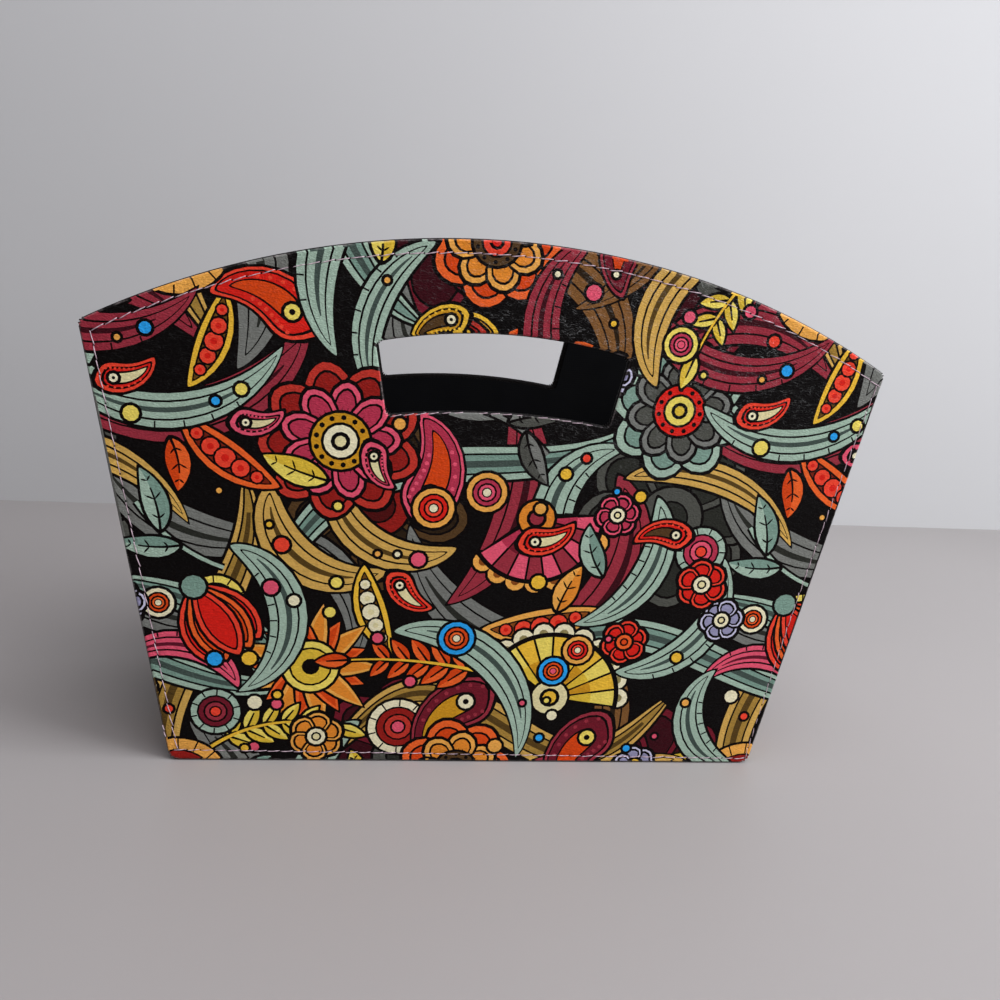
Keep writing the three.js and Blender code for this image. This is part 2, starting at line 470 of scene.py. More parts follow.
def bell(length, tones, lining, stem):
    """A closed flower on a stem with two leaves."""
    path = middle_line(length * 0.9, 40, np.linspace(0, 1, 10))[0] - length * 0.85
    drawing = [(stroke(path, 0.8 + PEN_WIDTH * 0.8), PEN), (stroke(path, 0.8), stem[0])]
    drawing += turned(leaf(length * 0.55, length * 0.2, stem, 30), 150, path[3])
    drawing += turned(leaf(length * 0.5, length * 0.18, stem, -30), -110, path[5])
    for lean in (-34, 34, -17, 17, 0):
        light, middle, _ = lining if abs(lean) == 17 else tones
        form = lambda inset: pod(length * 0.72, length * 0.3, -lean * 0.9, 0.55, 0.7, inset)
        drawing += turned(banded(form, (light, middle), (length * 0.035,)), lean)
    return drawing + ringed((length * 0.1,), (stem[1],))

# %% Motifs: fans and medallions
def fan(radius, one, two, rim, spread=150, ribs=9):
    """A fan of ribs with a scalloped rim."""
    step = math.radians(spread) / ribs
    start = -math.radians(spread) / 2
    scallop = radius * math.sin(step / 2)
    edge = radius * np.exp(1j * np.linspace(start, -start, ribs * 3 + 1))
    crowns = radius * np.exp(1j * (start + (np.arange(ribs) + 0.5) * step))
    body = np.concatenate([[-PEN_WIDTH * 2], edge * (1 + PEN_WIDTH / radius)])
    drawing = [(disc(scallop + PEN_WIDTH, at, 12), PEN) for at in crowns] + [(body, PEN)]
    for at in crowns:
        drawing += [(disc(scallop, at, 12), rim[0]), (disc(scallop * 0.45, at, 8), rim[2])]
    drawing.append((np.concatenate([[0], edge * 1.01]), PEN))
    for k in range(ribs):
        tones = (two, one)[k % 2]
        arc = np.exp(1j * np.linspace(start + (k + 0.06) * step, start + (k + 0.94) * step, 4))
        drawing.append((np.concatenate([[radius * 0.12 * arc[1]], radius * 0.94 * arc]), tones[0]))
        drawing.append((np.concatenate([[radius * 0.12 * arc[1]], radius * 0.6 * arc]), tones[1]))
    radii = (radius * 0.26, radius * 0.15, radius * 0.1)
    return drawing + ringed(radii, (rim[1], PEN, one[0]))


def medallion(radius, tones, other, eye, ticks):
    """Rings with ticks round the edge."""
    drawing = ringed((radius,), (tones[0],))
    for k in range(ticks):
        way = radius * np.exp(2j * np.pi * k / ticks)
        drawing.append((stroke(np.linspace(way * 0.76, way, 3), HATCH), PEN))
    radii = (radius * 0.76, radius * 0.76 - INNER_LINE, radius * 0.5, radius * 0.5 - INNER_LINE)
    rings = ringed(radii + (radius * 0.27, radius * 0.2), (PEN, other[1], PEN, other[0], PEN, eye[0]))
    return drawing + rings[1:]

# %% [markdown]
# ## The repeat
# A printer's repeat is filled from the large motifs to the small: each next motif goes where the most
# room is left, measured across the edges of the repeat so that it tiles without a join. Dark, quiet
# shapes go underneath so that the ground shows only in small places. The seed is fixed, so the same
# print comes out each time.

# %% Fill one repeat of the print
REPEAT = complex(262, 236)
PRINT_SEED = 7
RIM_ROOM = 2.0


def roomiest(draw, taken, tries):
    """The place with the most room among some tries, measured across the edges of the repeat too."""
    spots = [complex(draw.uniform(0, REPEAT.real), draw.uniform(0, REPEAT.imag)) for _ in range(tries)]
    places = np.array(spots)
    if not taken:
        return places[0]
    others = np.array([place for place, _ in taken])
    gap = places[:, None] - others
    x = (gap.real + REPEAT.real / 2) % REPEAT.real - REPEAT.real / 2
    y = (gap.imag + REPEAT.imag / 2) % REPEAT.imag - REPEAT.imag / 2
    room = (np.hypot(x, y) - [size for _, size in taken]).min(axis=1)
    return places[room.argmax()]


def filled_repeat(seed):
    """The drawings of one repeat, from the bottom to the top."""
    draw = random.Random(seed)
    pick = lambda *names: TONES[draw.choice(names)]
    shaded = lambda tones: (tones[1], tones[2], tones[2])
    swing = lambda low, high: draw.choice((-1, 1)) * draw.uniform(low, high)

    def strewn(makers, taken, size, tries=160):
        """Each drawing turned at random and put where there is room, and its size kept free there."""
        drawings = []
        for make in makers:
            at = roomiest(draw, taken, tries)
            drawing = turned(centred(make()), draw.uniform(0, 360), at)
            taken.append((at, size))
            taken.extend((place, RIM_ROOM) for place in drawing[0][0])
            drawings.append(drawing)
        return drawings

    dim_flower = lambda: blossom(
        draw.uniform(34, 42), draw.choice((7, 8, 9)),
        shaded(pick("grey", "brown", "maroon")), shaded(pick("grey", "brown", "brick")),
    )
    dim_band = lambda: crescent(
        draw.uniform(85, 130), draw.uniform(16, 23),
        pick("grey", "grey", "brown", "sage", "maroon"), swing(80, 150), 0,
    )
    wave = lambda: ribbon(
        draw.uniform(130, 180), draw.uniform(13, 17), pick("sage", "sage", "rose", "ochre"),
        draw.choice((0.8, 1.0)), draw.uniform(18, 26),
    )
    band = lambda: crescent(
        draw.uniform(62, 105), draw.uniform(11, 18),
        pick("sage", "sage", "sage", "ochre", "rose", "maroon", "ochre"),
        swing(70, 150), draw.choice((0, 6)),
    )
    T = TONES
    large = [
        lambda: rosette(33, 9, T["brick"], T["rose"], T["mustard"], T["cream"]),
        lambda: fan(32, T["mustard"], T["straw"], T["cream"]),
        lambda: sunburst(30, 18, T["tan"], T["orange"], T["straw"]),
        lambda: rosette(30, 8, T["sage"], T["grey"], T["scarlet"], T["straw"]),
        lambda: bell(50, T["scarlet"], T["orange"], T["sage"]),
        lambda: fan(30, T["maroon"], T["rose"], T["tan"]),
        lambda: medallion(22, T["tan"], T["brick"], T["cream"], 16),
        lambda: rosette(26, 7, T["orange"], T["tan"], T["brown"], T["scarlet"]),
        lambda: bell(44, T["mustard"], T["brick"], T["grey"]),
    ]
    middling = [
        lambda: drop(draw.uniform(40, 52), pick("rose", "maroon", "scarlet", "lilac"),
                     pick("mustard", "orange"), pick("cream", "straw")),
        lambda: seed_case(draw.uniform(42, 54), pick("mustard", "tan", "orange"), pick("cream", "scarlet")),
        lambda: spray(draw.uniform(52, 66), draw.uniform(-60, 60), pick("tan", "mustard"),
                      pick("sage", "straw", "orange"), pick("scarlet", "rose")),
        lambda: medallion(draw.uniform(10, 14), pick("cream", "straw", "sage"),
                          pick("rose", "maroon", "brick"), pick("scarlet", "rose", "cream"), 10),
    ]
    small = [
        lambda: medallion(draw.uniform(6, 9), pick("cream", "straw", "blue", "tan"),
                          pick("scarlet", "orange", "rose", "lilac"), pick("cream", "rose"), 0),
        lambda: leaf(draw.uniform(20, 28), draw.uniform(9, 11), pick("straw", "tan", "sage", "orange"),
                     draw.uniform(-50, 50)),
        lambda: blossom(draw.uniform(9, 12), 6, pick("rose", "scarlet", "lilac", "tan"),
                        pick("cream", "orange", "mustard")),
        lambda: drop(draw.uniform(22, 28), pick("scarlet", "mustard", "rose"),
                     pick("cream", "brown"), pick("cream"), 90),
    ]
    berry = lambda: berry_dot(
        draw.choice((1.2, 1.7, 2.4, 3.2)),
        pick("tan", "mustard", "scarlet", "rose", "cream", "straw", "blue"),
    )

    under = []
    bottom = strewn([dim_flower] * 4, under, 26) + strewn([dim_band] * 12, under, 12)
    bottom += strewn([wave] * 5, under, 10)
    taken = []
    top = strewn(large, taken, 24)
    between = strewn([band] * 16, taken, 12) + strewn(middling * 4, taken, 11)
    draw.shuffle(between)
    half = len(between) // 2
    last = strewn(small * 7, taken, 8) + strewn([berry] * 50, taken, 3.5)
    return bottom + between[:half] + top + between[half:] + last


repeat = filled_repeat(PRINT_SEED)
print(f"the repeat holds {len(repeat)} motifs of {sum(len(d) for d in repeat)} inked shapes")

# %% [markdown]
# ## Seams
# The skins are topstitched a few millimetres inside every edge, and the rows meet at the corners.
# A finer row holds the lining at the lower edge of the hand holes, and a tack of two stitches
# holds each long wall's left foot corner to the end wall.
# A row is a path of points with a needle hole at every pitch, and geometry nodes set a stitch between
# every two holes later. Each hole is a small dark disc in the print, partly the skin's black cut edge
# and partly painted shade, and the skin sinks a little there.

# %% The rows of stitches of a wall
# A row is guided by hand, so its distance from the edge drifts a little from one end to the other,
# and the right row wanders inwards in the middle, most on the front wall.
MARGINS = {
    "front": {"left": (4.2, 4.2), "right": (1.9, 2.1), "foot": (4.9, 2.3), "top": 5.6, "wander": 1.9},
    "rear": {"left": (3.4, 3.0), "right": (3.1, 3.6), "foot": (3.0, 3.6), "top": 5.3, "wander": 0.5},
    "left_end": {"left": (3.2, 3.5), "right": (3.4, 3.0), "foot": (3.3, 3.0), "top": 4.4, "wander": 0.3},
    "right_end": {"left": (3.0, 3.3), "right": (3.6, 3.2), "foot": (3.1, 3.5), "top": 4.6, "wander": 0.4},
}
GRIP_MARGIN = 0.5
ROW_OVERRUN = 1.6
STITCH_PITCH = 5.7
FINE_PITCH = 5.0
TACK_PITCH = 3.0
TACK_MARGIN = 0.35
TACK_FROM = 10.8
TACK_TO = 17.0
NEEDLE_HOLE = 0.42


def crossing(form, edge, side_margin, edge_margin):
    """Where the lines that run inside the side and inside the foot (0) or the top (1) cross."""
    half, height, _ = shifted_edge(form[edge], (1, -1)[edge] * edge_margin, *side_line(form, side_margin))
    return complex(half, height)


def seam_rows(form, grip, margins):
    """The rows of a wall: a path in complex millimetres and the pitch of its stitches."""
    left_foot, left_top, right_foot, right_top = (
        crossing(form, edge, margins[side][edge], (margins["foot"][number], margins["top"])[edge])
        for number, side in enumerate(("left", "right")) for edge in (0, 1)
    )
    left_foot, left_top = -left_foot.conjugate(), -left_top.conjugate()
    foot_row = np.array([left_foot - ROW_OVERRUN, right_foot])
    if form[1][2]:
        radius, centre = circle_of(form[1])
        radius -= margins["top"]
        ends = [math.asin(corner.real / radius) for corner in (left_top, right_top + ROW_OVERRUN)]
        top_row = 1j * centre + radius * 1j * np.exp(-1j * np.linspace(*ends, 161))
    else:
        top_row = np.array([left_top, right_top + ROW_OVERRUN])
    share = np.linspace(0, 1, 33)
    right_row = right_foot + (right_top - right_foot) * share
    right_row -= margins["wander"] * 4 * share * (1 - share)
    main_rows = (np.array([left_foot, left_top]), right_row, foot_row, top_row)
    rows = [(row, STITCH_PITCH) for row in main_rows]
    if grip:
        edge = drawn_in(grip, -GRIP_MARGIN)[0]
        rows.append((edge_points((edge[0] - 1.5, edge[1], edge[2]), -1, 40), FINE_PITCH))
        tack = [crossing(form, 0, TACK_MARGIN, height) for height in (TACK_FROM, TACK_TO)]
        rows.append((-np.conj(tack), TACK_PITCH))
    return rows

# %% Stitches and needle holes along a row
def walk_along(path, pitch):
    """The length of a path, and its stitch spacing once the stitches are spread evenly."""
    lengths = np.concatenate([[0], np.cumsum(abs(np.diff(path)))])
    return lengths, lengths[-1] / int(lengths[-1] / pitch)


def points_on(path, lengths, distances):
    """Points at the given distances along a path."""
    return np.interp(distances, lengths, path.real) + 1j * np.interp(distances, lengths, path.imag)


def needle_holes(rows):
    """A small dark disc at both ends of every stitch of the main rows: the skin's black cut edge and painted
    shade down the hole.
    """
    holes = []
    for path, pitch in rows:
        if pitch == STITCH_PITCH:
            lengths, spacing = walk_along(path, pitch)
            spots = points_on(path, lengths, np.arange(0, lengths[-1] + spacing / 2, spacing))
            holes += [(disc(NEEDLE_HOLE, spot, 6), PEN) for spot in spots]
    return holes

# %% How the skin waves and sinks
# Depths and widths of the waves and of the marks that sewing leaves, in millimetres.
BROAD_WAVE = 0.10
NARROW_WAVE = 0.05
FINE_WAVE = 0.03
GROOVE_DEPTH = 0.14
GROOVE_WIDTH = 1.5
PIERCED_DEPTH = 0.2
PIERCED_WIDTH = 0.75


def relief(points, rows):
    """How far the skin lies above (+) or below (-) its flat face, in millimetres."""
    x, y = points.real, points.imag
    height = BROAD_WAVE * np.sin(x / 19 + 1.3) * np.sin(y / 27 + 0.4)
    height += NARROW_WAVE * np.sin(x / 9.5 - y / 13 + 2.1) + FINE_WAVE * np.sin(y / 6.1 + x / 31)
    for path, pitch in rows:
        lengths, spacing = walk_along(path, pitch)
        step = np.diff(path)
        share = ((points[:, None] - path[:-1]) * np.conj(step)).real / abs(step) ** 2
        share = np.clip(share, 0, 1)
        away = abs(points[:, None] - (path[:-1] + share * step))
        nearest = away.argmin(axis=1)
        pick = (np.arange(len(points)), nearest)
        along = lengths[nearest] + share[pick] * abs(step)[nearest]
        size = pitch / STITCH_PITCH
        groove = GROOVE_DEPTH * size * np.exp(-((away[pick] / GROOVE_WIDTH) ** 2))
        pierced = (0.5 + 0.5 * np.cos(2 * np.pi * along / spacing)) ** 2
        height -= groove + PIERCED_DEPTH * size * pierced * np.exp(-((away[pick] / PIERCED_WIDTH) ** 2))
    return height


for name, wall in walls.items():
    wall["rows"] = seam_rows(wall["form"], wall["grip"], MARGINS[name])
    count = sum(len(np.arange(0, walk_along(*row)[0][-1], row[1])) for row in wall["rows"])
    print(f"{name}: {len(wall['rows'])} rows, about {count} stitches")

# %% [markdown]
# ## The printed skins
# A skin is a flat face that turns over every edge of its board with a small fold, goes down the side,
# folds again and ends as a hem behind. The face is cut from the print: a triangulation that keeps
# every visible outline as an edge gives crisp inks with one colour per triangle. The folds are then
# swept outwards from the face's own border points, so that the mesh is closed without a join.
# The print stops halfway round the fold, where the black backing of the skin begins to show.

# %% Where points lie by an outline
def inside(points, outline):
    """Which points lie inside an outline."""
    after = np.roll(outline, -1)
    x, y = points.real[:, None], points.imag[:, None]
    crossing = (outline.imag > y) != (after.imag > y)
    rise = np.where(after.imag == outline.imag, 1, after.imag - outline.imag)
    reach = outline.real + (y - outline.imag) * (after.real - outline.real) / rise
    return (crossing & (x < reach)).sum(axis=1) % 2 == 1


def distances_to(points, outline):
    """How far points lie from each side of an outline, and where on the side the nearest point is."""
    step = np.roll(outline, -1) - outline
    share = np.clip(((points[:, None] - outline) * np.conj(step)).real / abs(step) ** 2, 0, 1)
    return abs(points[:, None] - (outline + share * step)), share

# %% Cut the print to a wall's face
RUN_ON = 3
WELD = 1e-5


def repeats_over(outline, offset):
    """The drawings of the print that reach the outline, where the repeat is cut at an offset."""
    low = complex(outline.real.min(), outline.imag.min())
    high = complex(outline.real.max(), outline.imag.max())
    shapes = []
    columns = range(-RUN_ON, RUN_ON + 1)
    for drawing in repeat:
        everything = np.concatenate([shape for shape, _ in drawing]) - offset
        for column in columns:
            for row in columns:
                move = complex(column * REPEAT.real, row * REPEAT.imag)
                x, y = everything.real + move.real, everything.imag + move.imag
                if x.max() < low.real or x.min() > high.real or y.max() < low.imag or y.min() > high.imag:
                    continue
                shapes += [(shape - offset + move, ink) for shape, ink in drawing]
    return shapes

# %% Triangles, and the lines between their regions
def flat(points):
    """Complex numbers as the points that the triangulation takes."""
    return [Vector((z.real, z.imag)) for z in points]


def triangulated(shapes):
    """The triangles of shapes that lie over each other, with the numbers of the shapes round each."""
    corners = np.concatenate(shapes)
    ends = np.cumsum([len(shape) for shape in shapes])
    loops = [list(range(end - len(shape), end)) for end, shape in zip(ends, shapes)]
    points, _, triangles, _, _, owners = geometry.delaunay_2d_cdt(flat(corners), [], loops, 0, WELD, True)
    return points, triangles, owners


def sorted_sides(triangles, count):
    """The sides of triangles as one number each, in order, and the triangle that each belongs to."""
    sides = np.concatenate([triangles[:, [0, 1]], triangles[:, [1, 2]], triangles[:, [2, 0]]])
    codes = sides.min(axis=1).astype(np.int64) * count + sides.max(axis=1)
    order = np.argsort(codes, kind="stable")
    return codes[order], order % len(triangles)


def borders(triangles, owner, count):
    """The edges at which the owner of the triangles changes, or at which they end."""
    codes, owners = sorted_sides(triangles, count)
    owners = owner[owners]
    same = np.concatenate([[False], codes[1:] == codes[:-1], [False]])
    alone = ~same[1:] & ~same[:-1] & (owners >= 0)
    change = same[1:-1] & (owners[1:] != owners[:-1])
    chosen = np.concatenate([codes[1:][change], codes[alone]])
    return np.stack([chosen // count, chosen % count], axis=1)


def regions(triangles, drawn, count):
    """A number for every triangle, the same for all that no drawn edge keeps apart."""
    codes, owners = sorted_sides(triangles, count)
    drawn = drawn.min(axis=1).astype(np.int64) * count + drawn.max(axis=1)
    joined = (codes[1:] == codes[:-1]) & ~np.isin(codes[1:], drawn)
    one, other = owners[1:][joined], owners[:-1][joined]
    group = np.arange(len(triangles))
    while True:
        least = np.minimum(group[one], group[other])
        grown = group.copy()
        np.minimum.at(grown, one, least)
        np.minimum.at(grown, other, least)
        grown = grown[grown]
        if (grown == group).all():
            return group
        group = grown

# %% The face of a wall with one ink for each triangle
def printed_face(outline, hole, shapes, extra):
    """The face as points, triangles and the ink number of each triangle."""
    cut = [outline] + ([hole] if hole is not None else [])
    points, triangles, owners = triangulated(cut + [shape for shape, _ in shapes])
    names = [GROUND] * len(cut) + [ink for _, ink in shapes]
    top = np.array([-1 if 0 not in own or (hole is not None and 1 in own) else ink_number[names[max(own)]]
                    for own in owners])
    edges = borders(np.array(triangles), top, len(points))
    used, ends = np.unique(edges, return_inverse=True)
    kept = [points[k] for k in used] + flat(extra)
    made = geometry.delaunay_2d_cdt(kept, ends.reshape(-1, 2).tolist(), [], 0, WELD, True)
    corners, new = np.array([complex(*p) for p in made[0]]), np.array(made[2])
    drawn = np.array([edge for edge, given in zip(made[1], made[4]) if given])
    region = regions(new, drawn, len(corners))
    first, second, third = (corners[new[:, k]] for k in range(3))
    by_area = np.argsort(((second - first).conj() * (third - first)).imag)
    largest = np.zeros(len(new), int)
    largest[region[by_area]] = by_area
    under = BVHTree.FromPolygons([(p[0], p[1], 0) for p in points], triangles)
    middles = corners[new].mean(axis=1)
    found = {}
    for k in set(largest[region]):
        found[k] = top[under.find_nearest((middles[k].real, middles[k].imag, 0))[2]]
    inks = np.array([found[k] for k in largest[region]])
    new, inks = new[inks >= 0], inks[inks >= 0]
    shown, renumbered = np.unique(new, return_inverse=True)
    return corners[shown], renumbered.reshape(-1, 3), inks

# %% Inks as numbers
def linear(hex_colour):
    """An sRGB hex colour as the linear numbers that a shader takes."""
    channels = [int(hex_colour[k:k + 2], 16) / 255 for k in (1, 3, 5)]
    return [c / 12.92 if c <= 0.04045 else ((c + 0.055) / 1.055) ** 2.4 for c in channels] + [1.0]


ink_names = [GROUND, PEN] + [ink for tones in TONES.values() for ink in tones]
ink_number = {ink: k for k, ink in enumerate(ink_names)}
ink_table = np.array([linear(ink) for ink in ink_names])
print(f"the ground, the pen and {len(ink_names) - 2} tones are numbered")

# %% Sweep the folds and the hem round a border
FOLD_STEPS = 4
BACK_STEPS = 2
PLEAT = 0.4
fold_turns = np.linspace(0, math.pi / 2, FOLD_STEPS + 1)
back_turns = np.linspace(0, math.pi / 2, BACK_STEPS + 1)
# Each ring is (inset, level, share of the fold, how much it pleats).
face_fold = [
    (FOLD * (1 - math.sin(turn)), FOLD * (math.cos(turn) - 1), turn / math.pi * 2, math.sin(turn))
    for turn in fold_turns
]
back = FOLD - COVER_DEPTH
rear_fold = [
    (FOLD * (1 - math.cos(turn)), back - FOLD * math.sin(turn), 1, math.cos(turn)) for turn in back_turns
]
hem_ring = [(HEM, -COVER_DEPTH, 1, 0), (HEM, SKIN - COVER_DEPTH, 1, 0), (SKIN, SKIN - COVER_DEPTH, 1, 0)]
rings = face_fold + rear_fold + hem_ring + [(SKIN, -SKIN, 1, 0)]
SMOOTH_RINGS = len(face_fold) + len(rear_fold)
print(f"a skin goes round its board in {len(rings)} rings")


def border_loops(triangles):
    """The loops round a face of triangles, longest first, with the triangle at each of their sides."""
    sides = np.concatenate([triangles[:, [0, 1]], triangles[:, [1, 2]], triangles[:, [2, 0]]]).tolist()
    owner = {tuple(side): k % len(triangles) for k, side in enumerate(sides)}
    after = {side[0]: side[1] for side in owner if (side[1], side[0]) not in owner}
    loops = []
    while after:
        start = next(iter(after))
        loop = [start]
        while after[loop[-1]] != start:
            loop.append(after.pop(loop[-1]))
        loops.append((loop, [owner[side] for side in zip(loop, loop[1:] + loop[:1])]))
        del after[loop[-1]]
    return sorted(loops, key=lambda pair: -len(pair[0]))


def places_on(points, outline):
    """The places of points on an outline: 2.5 is halfway from its third point to its fourth."""
    away, share = distances_to(points, outline)
    segment = away.argmin(axis=1)
    return (segment + share[np.arange(len(points)), segment]) % len(outline)


def at_places(values, places):
    """Values given at the points of an outline, read between them."""
    low = np.floor(places).astype(int) % len(values)
    share = places - np.floor(places)
    return values[low] * (1 - share) + values[(low + 1) % len(values)] * share


def swept(form, sign, steps, corner, places, face_height):
    """The rings round a border as an array of ring by point: x + iy and the level of each."""
    flat_rings, levels = [], []
    for inset, level, folded, pleating in rings:
        outline, pleats = outline_of(drawn_in(form, sign * inset), steps, corner)
        pleated = at_places(pleats, places) * PLEAT * pleating
        inner, _ = outline_of(drawn_in(form, sign * (inset + 1)), steps, corner)
        here, inwards = at_places(outline, places), at_places(inner, places)
        flat_rings.append(here + (inwards - here) * pleated)
        levels.append(level + face_height * (1 - folded))
    return np.array(flat_rings), np.array(levels)


def grid_normals(spots):
    """The normals of a swept grid of points, from the steps along and across it."""
    along = np.roll(spots, -1, axis=1) - np.roll(spots, 1, axis=1)
    across = np.gradient(spots, axis=0)
    normals = np.cross(across, along)
    return normals / np.linalg.norm(normals, axis=2, keepdims=True)

# %% Points inside the face that carry its waves and seams
GRID_STEP = 8.0
SEAM_BAND = (-1.8, -0.9, 0.0, 0.9, 1.8)
POINTS_A_STITCH = 6
RIM_CLEARANCE = 0.4


def extra_points(outline, hole, rows):
    """Points for the waves of the face and the sunk seams, kept clear of the borders."""
    x = np.arange(outline.real.min(), outline.real.max(), GRID_STEP)
    y = np.arange(outline.imag.min(), outline.imag.max(), GRID_STEP)
    points = [(x[:, None] + 1j * y[None, :]).ravel()]
    for path, pitch in rows:
        lengths, spacing = walk_along(path, pitch)
        distances = np.arange(0.0, lengths[-1], spacing / POINTS_A_STITCH)
        middle = points_on(path, lengths, distances)
        heading = np.gradient(middle)
        heading /= abs(heading)
        points += [middle + 1j * heading * offset for offset in SEAM_BAND]
    points = np.concatenate(points)
    keep = inside(points, outline) & (distances_to(points, outline)[0].min(axis=1) > RIM_CLEARANCE)
    if hole is not None:
        keep &= ~inside(points, hole) & (distances_to(points, hole)[0].min(axis=1) > RIM_CLEARANCE)
    return points[keep]

# %% The faces between the rings, and the one that closes the pocket
def ring_faces(numbers, sign):
    """The four-sided faces between every two rings, a list for each pair."""
    after = np.roll(numbers, -1, axis=1)
    groups = []
    for k in range(len(rings) - 1):
        quads = [after[k], numbers[k], numbers[k + 1], after[k + 1]]
        if sign < 0:
            quads = [numbers[k], after[k], after[k + 1], numbers[k + 1]]
        groups.append(np.stack(quads, axis=1).tolist())
    return groups


def closing_faces(last_rings):
    """The triangles behind the printed face, between the last ring of the wall and its hole's."""
    _, triangles, owners = triangulated([ring for _, ring in last_rings])
    numbers = np.concatenate([number for number, _ in last_rings])
    inner = np.array([triangle for triangle, own in zip(triangles, owners) if own == [0]])
    return numbers[inner][:, ::-1].tolist()

# %% Make the skin of a wall as one closed mesh
SLOPE_STEP = 0.05
BLACK_FROM = 0.55


def make_skin(name, wall, offset):
    """The printed skin of a wall, stood in its place."""
    form, grip, rows = wall["form"], wall["grip"], wall["rows"]
    parts = [(form, 1, ARCH_STEPS, OUTER_CORNER)] + ([(grip, -1, GRIP_STEPS, GRIP_CORNER)] if grip else [])
    lines = [
        outline_of(drawn_in(part, sign * FOLD), steps, corner)[0] for part, sign, steps, corner in parts
    ]
    hole = lines[1] if grip else None
    shapes = repeats_over(lines[0], offset) + needle_holes(rows)
    corners, triangles, inks = printed_face(lines[0], hole, shapes, extra_points(lines[0], hole, rows))

    heights = relief(corners, rows)
    slope_x = (relief(corners + SLOPE_STEP, rows) - heights) / SLOPE_STEP
    slope_y = (relief(corners + 1j * SLOPE_STEP, rows) - heights) / SLOPE_STEP
    normals = [np.stack([-slope_x, -slope_y, np.ones_like(heights)], axis=1)]
    spots = [np.stack([corners.real, corners.imag, heights], axis=1)]
    faces, face_inks, smooth = [triangles.tolist()], [inks], [np.ones(len(triangles), bool)]
    folds, last_rings = [np.zeros(len(corners))], []
    count = len(corners)
    loops = border_loops(triangles)
    print(f"{name}: the face has {len(loops)} borders")
    for (part, sign, steps, corner), line, (loop, owners) in zip(parts, lines, loops):
        loop, owners = np.array(loop), np.array(owners)
        if sign < 0:
            loop, owners = loop[::-1], np.roll(owners[::-1], -1)
        places = places_on(corners[loop], line)
        flat_rings, levels = swept(part, sign, steps, corner, places, heights[loop])
        grid = np.stack([flat_rings.real, flat_rings.imag, levels], axis=2)
        grid[0] = spots[0][loop]
        ring_normals = grid_normals(grid) * sign
        numbers = count + np.arange((len(rings) - 1) * len(loop)).reshape(len(rings) - 1, -1)
        numbers = np.concatenate([loop[None, :], numbers])
        count += (len(rings) - 1) * len(loop)
        spots.append(grid[1:].reshape(-1, 3))
        normals.append(ring_normals[1:].reshape(-1, 3))
        folds.append(np.repeat([ring[2] for ring in rings[1:]], len(loop)))
        for k, quads in enumerate(ring_faces(numbers, sign), 1):
            faces.append(quads)
            black = rings[k][2] > BLACK_FROM
            face_inks.append(np.full(len(loop), ink_number[GROUND]) if black else inks[owners])
            smooth.append(np.full(len(loop), k < SMOOTH_RINGS))
        last_rings.append((numbers[-1], flat_rings[-1]))
    faces.append(closing_faces(last_rings))
    face_inks.append(np.full(len(faces[-1]), ink_number[GROUND]))
    smooth.append(np.zeros(len(faces[-1]), bool))
    return finished_mesh(name, wall["place"], spots, normals, folds, faces, face_inks, smooth)

# %% Turn the parts of a skin into an object
def new_object(name, data):
    """An object of the scene that holds the data."""
    made = bpy.data.objects.new(name, data)
    bpy.context.scene.collection.objects.link(made)
    return made


def finished_mesh(name, place, spots, normals, folds, faces, face_inks, smooth):
    """One object from the parts of a skin, with its inks, its fold share and its normals."""
    turn = np.array(place.to_3x3())
    spots = np.concatenate(spots) * MM @ turn.T + np.array(place.translation)
    faces = [face for group in faces for face in group]
    mesh = bpy.data.meshes.new(name)
    mesh.from_pydata(spots.tolist(), [], faces)
    mesh.polygons.foreach_set("use_smooth", [True] * len(faces))
    corner_of = np.zeros(len(mesh.loops), np.int32)
    mesh.loops.foreach_get("vertex_index", corner_of)
    sizes = np.array([len(face) for face in faces])
    face_of = np.repeat(np.arange(len(faces)), sizes)
    print_layer = mesh.color_attributes.new("print", "BYTE_COLOR", "CORNER")
    print_layer.data.foreach_set("color", ink_table[np.concatenate(face_inks)][face_of].ravel())
    fold_layer = mesh.attributes.new("fold", "FLOAT", "POINT")
    fold_layer.data.foreach_set("value", np.concatenate(folds).astype(np.float32))
    flat_normals = np.zeros(len(faces) * 3)
    mesh.polygons.foreach_get("normal", flat_normals)
    vertex_normals = np.concatenate(normals) @ turn.T
    vertex_normals /= np.linalg.norm(vertex_normals, axis=1, keepdims=True)
    chosen = np.where(np.concatenate(smooth)[face_of][:, None], vertex_normals[corner_of],
                      flat_normals.reshape(-1, 3)[face_of])
    mesh.normals_split_custom_set(chosen.tolist())
    piece = new_object(name, mesh)
    triangles = int((sizes - 2).sum())
    print(f"{name}: {len(mesh.vertices)} points, {triangles} triangles")
    return piece

# %% The four skins
PRINT_OFFSETS = {"front": 131 + 20j, "rear": 40 + 150j, "right_end": 210 + 70j, "left_end": 90 + 200j}
for name, wall in walls.items():
    wall["skin"] = make_skin(name + "_skin", wall, PRINT_OFFSETS[name])
    low, high = (np.array(corner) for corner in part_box(name + "_cover"))
    spots = np.array([vertex.co for vertex in wall["skin"].data.vertices])
    beyond = max((low - spots.min(axis=0)).max(), (spots.max(axis=0) - high).max()) / MM
    print(f"{name}: the skin reaches {beyond:.2f} mm beyond the plain one")

# %% [markdown]
# ## Topstitching
# Each row is a thread that goes in and out of the skin, locked by a black one from the lining side.
# Separate little bent tubes show that best: geometry nodes bend one stitch, spread it along every row
# at the pitch, turn it along the row with a small slant, and join all of them into a plain mesh.

# %% Helpers that fill a node's inputs and add a node
def fill(tree, node, inputs):
    """Give a node's inputs their values, or link the sockets that feed them."""
    for name, value in inputs.items():
        if isinstance(value, bpy.types.NodeSocket):
            tree.links.new(value, node.inputs[name])
        else:
            node.inputs[name].default_value = value


